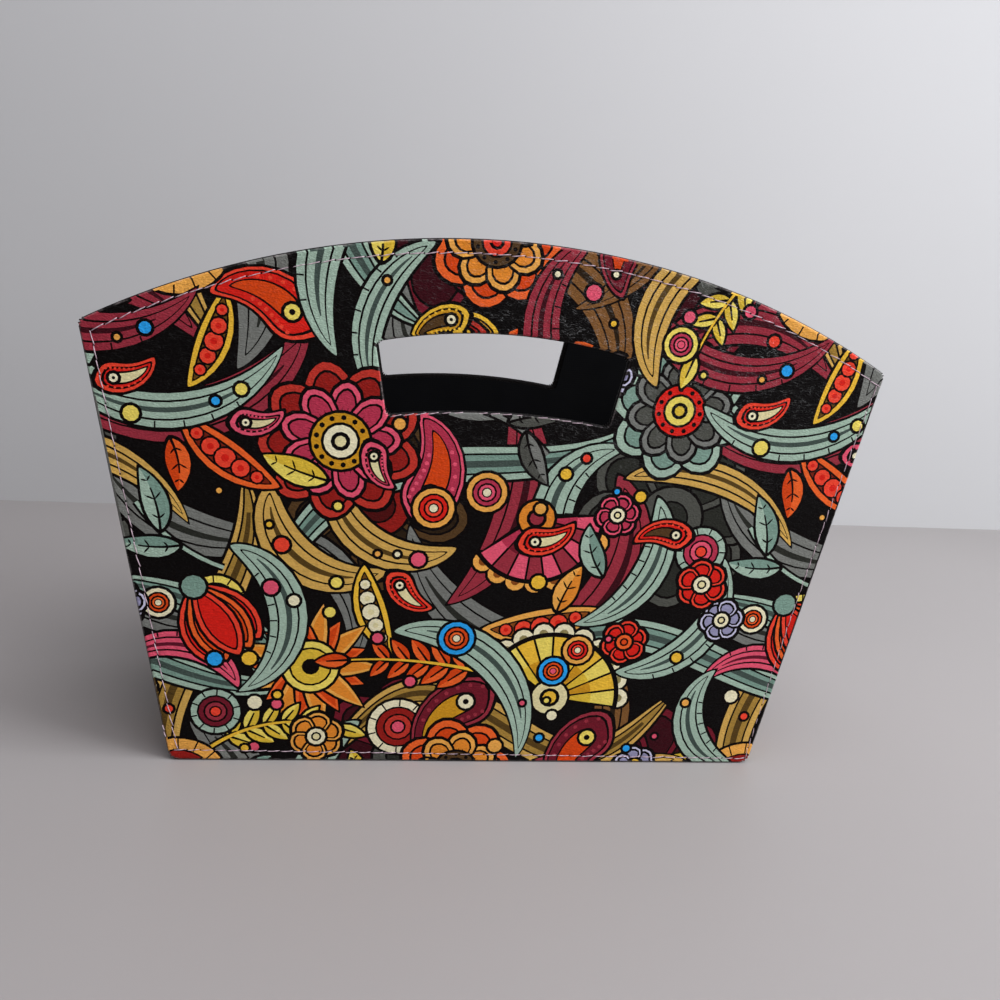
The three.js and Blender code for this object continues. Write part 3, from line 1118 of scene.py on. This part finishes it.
def add(tree, kind, inputs, **settings):
    """Add a node with its settings and links, and give back its first output in use."""
    made = tree.nodes.new(kind)
    for name, value in settings.items():
        setattr(made, name, value)
    fill(tree, made, inputs)
    return next((socket for socket in made.outputs if socket.enabled), None)

# %% The geometry nodes of a stitched row
THREAD = 0.38
FINE_THREAD = 0.3
STITCH_SHARE = 0.94
STITCH_DIP = 0.9
BOW_STEPS = 6
ROUND_STEPS = 6
STITCH_SLANT = math.radians(5)
SLANT_SPREAD = math.radians(4)
STITCH_SINK = 0.1
FINE_SINK = 0.4


def stitch_tree():
    """Stitches along the edges of a mesh that lie flat, with their thread's material."""
    tree = bpy.data.node_groups.new("Topstitching", "GeometryNodeTree")
    sizes = {"Pitch": STITCH_PITCH * MM, "Thread": THREAD * MM, "Share": STITCH_SHARE,
             "Slant": STITCH_SLANT, "Spread": SLANT_SPREAD, "Sink": STITCH_SINK * MM}
    tree.interface.new_socket("Rows", in_out="INPUT", socket_type="NodeSocketGeometry")
    for name, size in sizes.items():
        tree.interface.new_socket(name, in_out="INPUT", socket_type="NodeSocketFloat").default_value = size
    tree.interface.new_socket("Seed", in_out="INPUT", socket_type="NodeSocketInt")
    tree.interface.new_socket("Material", in_out="INPUT", socket_type="NodeSocketMaterial")
    tree.interface.new_socket("Stitches", in_out="OUTPUT", socket_type="NodeSocketGeometry")
    given = add(tree, "NodeGroupInput", {}).node.outputs
    # One stitch lies along X: it comes up from its first hole, bows over the skin and dips into the next.
    length = add(tree, "ShaderNodeMath", {0: given["Pitch"], 1: given["Share"]}, operation="MULTIPLY")
    half = add(tree, "ShaderNodeMath", {0: length, 1: 0.5}, operation="MULTIPLY")
    back = add(tree, "ShaderNodeMath", {0: length, 1: -0.5}, operation="MULTIPLY")
    dip = add(tree, "ShaderNodeMath", {0: given["Thread"], 1: -STITCH_DIP}, operation="MULTIPLY")
    ends = [add(tree, "ShaderNodeCombineXYZ", {"X": x, "Z": dip}) for x in (back, half)]
    crown = add(tree, "ShaderNodeCombineXYZ", {"Z": given["Thread"]})
    bow = add(tree, "GeometryNodeCurveQuadraticBezier",
              {"Resolution": BOW_STEPS, "Start": ends[0], "Middle": crown, "End": ends[1]})
    radius = add(tree, "ShaderNodeMath", {0: given["Thread"], 1: 0.5}, operation="MULTIPLY")
    round_ = add(tree, "GeometryNodeCurvePrimitiveCircle", {"Resolution": ROUND_STEPS, "Radius": radius})
    stitch = add(tree, "GeometryNodeCurveToMesh", {"Curve": bow, "Profile Curve": round_, "Fill Caps": True})
    # It is set at every pitch of a row, turned along it and slanted by a little more or less.
    row = add(tree, "GeometryNodeMeshToCurve", {"Mesh": given["Rows"]})
    spots = add(tree, "GeometryNodeResampleCurve", {"Curve": row, "Length": given["Pitch"]}, mode="LENGTH")
    heading = add(tree, "GeometryNodeInputTangent", {})
    along = add(tree, "FunctionNodeAlignRotationToVector", {"Vector": heading}, axis="X")
    upright = add(tree, "FunctionNodeAlignRotationToVector",
                  {"Rotation": along, "Vector": (0, 0, 1)}, axis="Z", pivot_axis="X")
    slants = [add(tree, "ShaderNodeMath", {0: given["Slant"], 1: given["Spread"]}, operation=kind)
              for kind in ("SUBTRACT", "ADD")]
    slant = add(tree, "FunctionNodeRandomValue",
                {"Min": slants[0], "Max": slants[1], "Seed": given["Seed"]}, data_type="FLOAT")
    slanted = add(tree, "ShaderNodeCombineXYZ", {"Z": slant})
    slanted = add(tree, "FunctionNodeEulerToRotation", {0: slanted})
    placed = add(tree, "FunctionNodeRotateRotation",
                 {"Rotation": upright, "Rotate By": slanted}, rotation_space="LOCAL")
    deepest = add(tree, "ShaderNodeMath", {0: given["Sink"], 1: -1}, operation="MULTIPLY")
    depth = add(tree, "FunctionNodeRandomValue",
                {"Min": deepest, "Max": 0, "Seed": given["Seed"]}, data_type="FLOAT")
    sunk = add(tree, "ShaderNodeCombineXYZ", {"Z": depth})
    copies = add(tree, "GeometryNodeInstanceOnPoints",
                 {"Points": spots, "Instance": stitch, "Rotation": placed})
    copies = add(tree, "GeometryNodeTranslateInstances",
                 {"Instances": copies, "Translation": sunk, "Local Space": False})
    real = add(tree, "GeometryNodeRealizeInstances", {"Geometry": copies})
    soft = add(tree, "GeometryNodeSetShadeSmooth", {"Geometry": real})
    dyed = add(tree, "GeometryNodeSetMaterial", {"Geometry": soft, "Material": given["Material"]})
    add(tree, "NodeGroupOutput", {"Stitches": dyed})
    return tree

# %% Set the stitches of a row, and join those of a wall
def stitched(rows, pitch, place, tree, values):
    """The stitches of flat rows as a plain mesh, stood in its place."""
    points, edges = [], []
    for path in rows:
        first = len(points)
        lengths, spacing = walk_along(path, pitch)
        # A stitch is set at each point, so the line begins and ends half a stitch inside the row.
        middles = points_on(path, lengths, np.linspace(spacing / 2, lengths[-1] - spacing / 2, len(path)))
        points += [(z.real * MM, z.imag * MM, 0) for z in middles]
        edges += [(k, k + 1) for k in range(first, len(points) - 1)]
    mesh = bpy.data.meshes.new("rows")
    mesh.from_pydata(points, edges, [])
    holder = new_object("rows", mesh)
    modifier = holder.modifiers.new("Topstitching", "NODES")
    modifier.node_group = tree
    for socket in tree.interface.items_tree:
        if socket.name in values and socket.in_out == "INPUT":
            modifier[socket.identifier] = values[socket.name]
    made = bpy.data.meshes.new_from_object(holder.evaluated_get(bpy.context.evaluated_depsgraph_get()))
    bpy.data.objects.remove(holder)
    made.transform(place)
    return made


def joined(name, meshes):
    """Several meshes as one piece that keeps the thread of each."""
    spots, faces, threads, numbers = [], [], [], []
    for mesh in meshes:
        first = len(spots)
        spots += [vertex.co[:] for vertex in mesh.vertices]
        faces += [[first + k for k in polygon.vertices] for polygon in mesh.polygons]
        thread = mesh.materials[mesh.polygons[0].material_index]
        if thread not in threads:
            threads.append(thread)
        numbers += [threads.index(thread)] * len(mesh.polygons)
    whole = bpy.data.meshes.new(name)
    whole.from_pydata(spots, [], faces)
    for thread in threads:
        whole.materials.append(thread)
    whole.polygons.foreach_set("material_index", numbers)
    whole.polygons.foreach_set("use_smooth", [True] * len(faces))
    return new_object(name, whole)

# %% [markdown]
# ## Materials
# Leatherette is a knitted or woven backing under a coat of polyurethane that is printed, lacquered and
# embossed with a leather grain. The lacquer gives soft, broken highlights, and the grain breaks them up.
# Every scale below comes from a real size in millimetres, through one function.

# %% Start a material, read a size as a scale and map a value
def material_for(name):
    """A material, its tree, its surface shader and the object coordinates."""
    material = bpy.data.materials.new(name)
    material.use_nodes = True
    tree = material.node_tree
    place = add(tree, "ShaderNodeTexCoord", {}).node.outputs["Object"]
    return material, tree, tree.nodes["Principled BSDF"], place


def per_metre(size_mm):
    """How many times a pattern of this size fits in a metre."""
    return 1000 / size_mm


def span(value, low, high, to_low, to_high):
    """The inputs that map a value from one span to another."""
    return {0: value, 1: low, 2: high, 3: to_low, 4: to_high}

# %% The grain that both leatherettes share
GRAIN_SIZE = 1.1
GRAIN_FLATNESS = 1.9
WRINKLE_SIZE = 5.0
CREASE_SIZE = 3.0
CREASE_FLATNESS = 3.6
CREASE_WIDTH = 0.045
GRAIN_DEPTH = 0.13
SWAY_SIZE = 2.4
SWAY = 1.1


def leather_grain(tree, place):
    """Embossed pebbles about a millimetre wide, flattened, with fine creases lying across them."""
    sway = add(tree, "ShaderNodeTexNoise", {"Vector": place, "Scale": per_metre(SWAY_SIZE), "Detail": 2.0})
    sway = sway.node.outputs["Color"]
    sway = add(tree, "ShaderNodeVectorMath", {0: sway, "Scale": SWAY * MM}, operation="SCALE")
    swayed = add(tree, "ShaderNodeVectorMath", {0: place, 1: sway}, operation="ADD")
    lying = add(tree, "ShaderNodeMapping", {"Vector": swayed, "Scale": (1, 1, GRAIN_FLATNESS)})
    flat_lying = add(tree, "ShaderNodeMapping", {"Vector": swayed, "Scale": (1, 1, CREASE_FLATNESS)})
    pebble = add(tree, "ShaderNodeTexVoronoi",
                 {"Vector": lying, "Scale": per_metre(GRAIN_SIZE), "Smoothness": 0.5}, feature="SMOOTH_F1")
    wrinkle = add(tree, "ShaderNodeTexNoise",
                  {"Vector": lying, "Scale": per_metre(WRINKLE_SIZE), "Detail": 5.0, "Roughness": 0.65})
    crease = add(tree, "ShaderNodeTexNoise",
                 {"Vector": flat_lying, "Scale": per_metre(CREASE_SIZE), "Detail": 1.5, "Roughness": 0.5})
    top = add(tree, "ShaderNodeMapRange", span(pebble, 0.1, 0.7, 1.0, 0.0))
    # A crease runs where its noise passes its middle value, so it is thin and wanders like a contour.
    ridge = add(tree, "ShaderNodeMath", {0: crease, 1: 0.5}, operation="SUBTRACT")
    ridge = add(tree, "ShaderNodeMath", {0: ridge}, operation="ABSOLUTE")
    ridge = add(tree, "ShaderNodeMapRange", span(ridge, 0.0, CREASE_WIDTH, 1.0, 0.0))
    height = add(tree, "ShaderNodeMath", {0: wrinkle, 1: 1.6, 2: top}, operation="MULTIPLY_ADD")
    height = add(tree, "ShaderNodeMath", {0: height, 1: ridge}, operation="ADD")
    bump = add(tree, "ShaderNodeBump", {"Height": height, "Distance": GRAIN_DEPTH * MM})
    return bump, top, ridge, wrinkle

# %% Printed PU leatherette
HANDLED_FROM = 120
HANDLED_TO = 195
HANDLED_MIDDLE = 55
HANDLED_NEAR = 35
HANDLED_FAR = 105
EDGE_TURN = 0.4
WEAR_AND_GLINT_SHARE = 0.34
FOLD_GLOSS = 0.25
FULL_GLOSS = 0.6


def printed_leatherette():
    """Polyurethane skin, screen printed, lacquered and embossed: half-gloss ink with a pebbled grain."""
    material, tree, surface, place = material_for("printed_pu_leatherette")
    ink = add(tree, "ShaderNodeAttribute", {}, attribute_name="print")
    fold = add(tree, "ShaderNodeAttribute", {}, attribute_name="fold").node.outputs["Fac"]
    bump, top, ridge, wrinkle = leather_grain(tree, place)
    # Painted shade darkens the ink in the grain's valleys and a painted highlight lightens it on the
    # pebbles' tops; a slow noise makes it a little uneven.
    uneven = add(tree, "ShaderNodeTexNoise", {"Vector": place, "Scale": per_metre(26), "Detail": 3.0})
    uneven = add(tree, "ShaderNodeMapRange", span(uneven, 0.3, 0.7, -0.05, 0.03))
    painted_grain_shade = add(tree, "ShaderNodeMapRange", span(top, 0.0, 0.8, 0.9, 1.04))
    shade = add(tree, "ShaderNodeMath", {0: painted_grain_shade, 1: uneven}, operation="ADD")
    inked = add(tree, "ShaderNodeMix", {"Factor": 1.0, 6: ink, 7: shade},
                data_type="RGBA", blend_type="MULTIPLY")
    # A hand polishes the lacquer on the creases of the face, most beside the hand hole's right end.
    apart = add(tree, "ShaderNodeSeparateXYZ", {0: place}).node.outputs
    aside = add(tree, "ShaderNodeMath", {0: apart["X"], 1: HANDLED_MIDDLE * MM}, operation="SUBTRACT")
    aside = add(tree, "ShaderNodeMath", {0: aside}, operation="ABSOLUTE")
    near_hole = add(tree, "ShaderNodeMapRange", span(aside, HANDLED_NEAR * MM, HANDLED_FAR * MM, 1.0, 0.15))
    handled = add(tree, "ShaderNodeMapRange", span(apart["Z"], HANDLED_FROM * MM, HANDLED_TO * MM, 0.0, 1.0))
    streak = add(tree, "ShaderNodeMapRange", span(wrinkle, 0.46, 0.6, 0.0, 1.0))
    face = add(tree, "ShaderNodeMapRange", span(fold, 0.0, EDGE_TURN, 1.0, 0.0))
    polished = ridge
    for share in (streak, handled, near_hole, face):
        polished = add(tree, "ShaderNodeMath", {0: polished, 1: share}, operation="MULTIPLY")
    # Broken pale lines are painted where the skin turns over the board: partly rubbed-through wear, partly a
    # painted highlight on the fold's edge.
    turning = add(tree, "ShaderNodeMath", {0: fold, 1: EDGE_TURN}, operation="SUBTRACT")
    turning = add(tree, "ShaderNodeMath", {0: turning}, operation="ABSOLUTE")
    turning = add(tree, "ShaderNodeMapRange", span(turning, 0.0, 0.3, 1.0, 0.0))
    wear_and_painted_glint = add(tree, "ShaderNodeMath", {0: turning, 1: streak}, operation="MULTIPLY")
    wear_and_painted_glint = add(tree, "ShaderNodeMath", {0: wear_and_painted_glint, 1: WEAR_AND_GLINT_SHARE}, operation="MULTIPLY")
    colour = add(tree, "ShaderNodeMix", {"Factor": wear_and_painted_glint, 6: inked, 7: linear("#b3a6a6")}, data_type="RGBA")
    # The stretched skin of the fold is smoother too, and catches the light as a thin line.
    stretched = add(tree, "ShaderNodeMath", {0: turning, 1: FOLD_GLOSS}, operation="MULTIPLY")
    glossy = add(tree, "ShaderNodeMath", {0: polished, 1: stretched}, operation="MAXIMUM")
    fill(tree, surface, {
        "Base Color": colour, "Normal": bump, "IOR": 1.5,
        "Roughness": add(tree, "ShaderNodeMapRange", span(glossy, 0.0, FULL_GLOSS, 0.5, 0.25)),
        "Specular IOR Level": add(tree, "ShaderNodeMapRange", span(glossy, 0.0, FULL_GLOSS, 0.05, 0.62)),
    })
    return material

# %% Black leatherette of the base, lining cloth, board and thread
def black_leatherette():
    """The same skin unprinted, under the base: black with the same grain, a little more matt."""
    material, tree, surface, place = material_for("black_pu_leatherette")
    bump, top, _, wrinkle = leather_grain(tree, place)
    shade = {"Factor": wrinkle, 6: linear("#0f0d0f"), 7: linear("#1f1c1e")}
    fill(tree, surface, {
        "Base Color": add(tree, "ShaderNodeMix", shade, data_type="RGBA"), "Normal": bump,
        "Roughness": add(tree, "ShaderNodeMapRange", span(top, 0.0, 1.0, 0.6, 0.42)),
        "IOR": 1.5, "Specular IOR Level": 0.25,
    })
    return material


def lining_cloth():
    """Plain-woven polyester lining, glued to card: near black and matt with a fine even weave."""
    material, tree, surface, place = material_for("black_polyester_lining")
    # The real threads lie 0.35 mm apart. They are drawn at 0.6 mm so that they show from a step away.
    thread_scale = per_metre(0.6) / (2 * math.pi)
    threads = [add(tree, "ShaderNodeTexWave",
                   {"Vector": place, "Scale": thread_scale, "Distortion": 0.6, "Detail": 1.0},
                   wave_type="BANDS", bands_direction=axis).node.outputs["Fac"] for axis in ("X", "Y", "Z")]
    crossed = {0: threads[0], 1: threads[2], 2: threads[1]}
    crossed = add(tree, "ShaderNodeMath", crossed, operation="MULTIPLY_ADD")
    slub = add(tree, "ShaderNodeTexNoise", {"Vector": place, "Scale": per_metre(14), "Detail": 3.0})
    shade = {"Factor": slub, 6: linear("#040405"), 7: linear("#0a0a0c")}
    fill(tree, surface, {
        "Base Color": add(tree, "ShaderNodeMix", shade, data_type="RGBA"),
        "Normal": add(tree, "ShaderNodeBump", {"Height": crossed, "Distance": 0.08 * MM, "Strength": 0.6}),
        "Roughness": 0.85, "Specular IOR Level": 0.06,
    })
    return material


def grey_board():
    """Binder's greyboard, pressed from waste paper: warm grey, matt, with darker fibres."""
    material, tree, surface, place = material_for("greyboard")
    fibre = add(tree, "ShaderNodeTexNoise", {"Vector": place, "Scale": per_metre(1.8), "Detail": 6.0})
    shade = {"Factor": fibre, 6: linear("#7f766a"), 7: linear("#aaa193")}
    fill(tree, surface, {
        "Base Color": add(tree, "ShaderNodeMix", shade, data_type="RGBA"),
        "Normal": add(tree, "ShaderNodeBump", {"Height": fibre, "Distance": 0.05 * MM, "Strength": 0.5}),
        "Roughness": 0.92,
    })
    return material


def sewing_thread(name, colour, shadow):
    """Polyester sewing thread, spun and twisted: soft and matt, with painted shade in the grooves between
    its plies.
    """
    material, tree, surface, place = material_for(name)
    # The plies turn every 0.5 mm. They are drawn at 0.9 mm so that they show in a close view.
    ply = add(tree, "ShaderNodeTexWave",
              {"Vector": place, "Scale": per_metre(0.9) / 6, "Distortion": 2.0}, bands_direction="DIAGONAL")
    ply = ply.node.outputs["Fac"]
    shade = {"Factor": ply, 6: linear(shadow), 7: linear(colour)}
    fill(tree, surface, {
        "Base Color": add(tree, "ShaderNodeMix", shade, data_type="RGBA"),
        "Normal": add(tree, "ShaderNodeBump", {"Height": ply, "Distance": 0.06 * MM}),
        "Roughness": 0.6, "Specular IOR Level": 0.2, "Sheen Weight": 0.04,
    })
    return material

# %% Make the six materials
print_skin = printed_leatherette()
base_skin = black_leatherette()
lining = lining_cloth()
board = grey_board()
pale_thread = sewing_thread("pale_polyester_thread", "#d2bac6", "#ab959f")
black_thread = sewing_thread("black_polyester_thread", "#121214", "#060607")
print("materials:", ", ".join(material.name for material in bpy.data.materials))

# %% Dress the skins and the CAD nodes
for wall in walls.values():
    wall["skin"].data.materials.append(print_skin)
finishes = {"_cover": base_skin, "_lining": lining, "_board": board}
for name, node in nodes.items():
    finish = next(finish for ending, finish in finishes.items() if name.endswith(ending))
    node.data.materials.clear()
    node.data.materials.append(finish)
    print(name, "is", finish.name)

# %% Stitch every wall on its face and on its lining
# Each kind of row is (pitch, thread, sink, level on the face, level on the lining or None).
ROW_KINDS = (
    (STITCH_PITCH, THREAD, STITCH_SINK, -0.02, -WALL_DEPTH),
    (FINE_PITCH, FINE_THREAD, FINE_SINK, -0.12, None),
    (TACK_PITCH, THREAD, 0.0, -0.12, None),
)
tree = stitch_tree()
for number, (name, wall) in enumerate(walls.items()):
    meshes = []
    for pitch, thread, sink, face_level, lining_level in ROW_KINDS:
        rows = [path for path, own in wall["rows"] if own == pitch]
        values = {"Pitch": pitch * MM, "Thread": thread * MM, "Sink": sink * MM, "Seed": number}
        if rows:
            outer = wall["place"] @ Matrix.Translation((0, 0, face_level * MM))
            meshes.append(stitched(rows, pitch, outer, tree, {**values, "Material": pale_thread}))
        if rows and lining_level is not None:
            inner = Matrix.Translation((0, 0, lining_level * MM)) @ Matrix.Rotation(math.pi, 4, "Y")
            mirrored = [-path.conj() for path in rows]
            inner_values = {**values, "Material": black_thread}
            meshes.append(stitched(mirrored, pitch, wall["place"] @ inner, tree, inner_values))
    wall["thread"] = joined(name + "_topstitching", meshes)
    threads = [thread.name for thread in wall["thread"].data.materials]
    print(f"{name}: {len(wall['thread'].data.polygons)} faces of", " and ".join(threads))

# %% [markdown]
# ## The picture
# The basket stands on a pale table in front of a pale wall, seen from a little to the left and above.
# The camera's place comes from fitting the corners of the front wall in the photograph. The table
# meets the wall along a line that leans a little in the picture, so the wall is put where the
# camera's rays through two points of that line meet the table.

# %% Camera
CAMERA_PLACE = Vector((-55.7, -458.3, 223.4)) * MM
LOOKS_DOWN = math.radians(13.77)
ROLL = math.radians(4.64)
LOOKS_RIGHT = math.radians(8.51)
PICTURE = 1000
FOCAL_PIXELS = 960
SENSOR = 36.0

looking = Matrix.Rotation(ROLL, 3, "Y") @ Matrix.Rotation(LOOKS_DOWN, 3, "X")
looking = (looking @ Matrix.Rotation(LOOKS_RIGHT, 3, "Z")).transposed()
lens = bpy.data.cameras.new("camera")
lens.sensor_width = SENSOR
lens.lens = FOCAL_PIXELS / PICTURE * SENSOR
lens.clip_start = 0.01
camera = new_object("camera", lens)
upright = (looking @ Matrix.Rotation(math.pi / 2, 3, "X")).to_4x4()
camera.matrix_world = Matrix.Translation(CAMERA_PLACE) @ upright
bpy.context.scene.camera = camera


def pixel_of(point):
    """Where a point shows in the picture, in pixels from the top left."""
    seen = looking.transposed() @ (Vector(point) - CAMERA_PLACE)
    return PICTURE / 2 + FOCAL_PIXELS * seen.x / seen.y, PICTURE / 2 - FOCAL_PIXELS * seen.z / seen.y


marks = {
    "top left": (-TOP_WIDTH / 2, CORNER_HEIGHT), "top right": (TOP_WIDTH / 2, CORNER_HEIGHT),
    "crown": (0, CORNER_HEIGHT + ARCH_RISE),
    "foot left": (-FOOT_WIDTH / 2, 0), "foot right": (FOOT_WIDTH / 2, 0),
}
for name, mark in marks.items():
    x, y = pixel_of(walls["front"]["place"] @ (Vector((*mark, 0)) * MM))
    print(f"{name} shows at {x:.0f}, {y:.0f}")

# %% Table and wall
TABLE_LINE_LEFT = (0, 500)
TABLE_LINE_RIGHT = (1000, 530)
STAGE_REACH = 4.0


def on_table(pixel):
    """The point of the table that shows at a pixel."""
    x, y = pixel
    ray = looking @ Vector(((x - PICTURE / 2) / FOCAL_PIXELS, 1, (PICTURE / 2 - y) / FOCAL_PIXELS))
    return CAMERA_PLACE + ray * (-CAMERA_PLACE.z / ray.z)


def plane(name, corners, material):
    """A flat four-sided backdrop."""
    mesh = bpy.data.meshes.new(name)
    mesh.from_pydata([tuple(c) for c in corners], [], [(0, 1, 2, 3)])
    mesh.materials.append(material)
    new_object(name, mesh)


def painted(name, colour, roughness, gloss, mottle_mm):
    """Smooth paint or laminate with a faint unevenness."""
    material, tree, surface, place = material_for(name)
    cloud = add(tree, "ShaderNodeTexNoise", {"Vector": place, "Scale": per_metre(mottle_mm), "Detail": 2.0})
    shade = add(tree, "ShaderNodeMapRange", span(cloud, 0.3, 0.7, 0.97, 1.02))
    tint = add(tree, "ShaderNodeMix", {"Factor": 1.0, 6: linear(colour), 7: shade},
               data_type="RGBA", blend_type="MULTIPLY")
    fill(tree, surface, {"Base Color": tint, "Roughness": roughness, "Specular IOR Level": gloss})
    return material


left, right = on_table(TABLE_LINE_LEFT), on_table(TABLE_LINE_RIGHT)
along = (right - left).normalized()
middle = (left + right) / 2
ends = [middle - along * STAGE_REACH, middle + along * STAGE_REACH]
up = Vector((0, 0, STAGE_REACH))
near = Vector((along.y, -along.x, 0)) * STAGE_REACH
laminate = painted("table_laminate", "#9a9695", 0.5, 0.3, 400)
plane("table", [ends[0], ends[0] + near, ends[1] + near, ends[1]], laminate)
paint = painted("wall_paint", "#b8b8b9", 0.8, 0.5, 700)
plane("back_wall", [ends[0], ends[1], ends[1] + up, ends[0] + up], paint)
print(f"the table ends {middle.y * 1000:.0f} mm behind the basket's middle")

# %% Light
AIM = (0, 0, 0.1)
ROOM_GLOW = 0.1


def soft_light(name, place, size, power, tint):
    """A square area light at a place, turned to the middle of the basket."""
    light = bpy.data.lights.new(name, "AREA")
    light.size = size
    light.energy = power
    light.color = linear(tint)[:3]
    lamp = new_object(name, light)
    facing = (Vector(AIM) - Vector(place)).to_track_quat("-Z", "Y")
    lamp.matrix_world = Matrix.Translation(place) @ facing.to_matrix().to_4x4()


soft_light("window", (1.1, -0.5, 0.8), 0.8, 19.5, "#f8fbff")
soft_light("room", (0.8, -1.8, 0.6), 1.2, 4.5, "#fffaf8")
soft_light("ceiling", (0.2, -0.6, 1.8), 1.2, 25, "#fcfaff")
world = bpy.data.worlds.new("room")
world.use_nodes = True
background = world.node_tree.nodes["Background"]
fill(world.node_tree, background, {"Color": linear("#ffffff"), "Strength": ROOM_GLOW})
bpy.context.scene.world = world
bpy.context.scene.view_settings.view_transform = "Standard"

# %% [markdown]
# ## Hand the pieces over
# The printed skins stand for the plain skins of the walls. Boards, linings and the base keep their
# CAD shapes. The skins and their thread ride on the one body, because nothing on this basket moves.

# %% Bind the pieces to the frame
for name, wall in walls.items():
    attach(wall["skin"], "root")
    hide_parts(name + "_cover")
    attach(wall["thread"], "root")
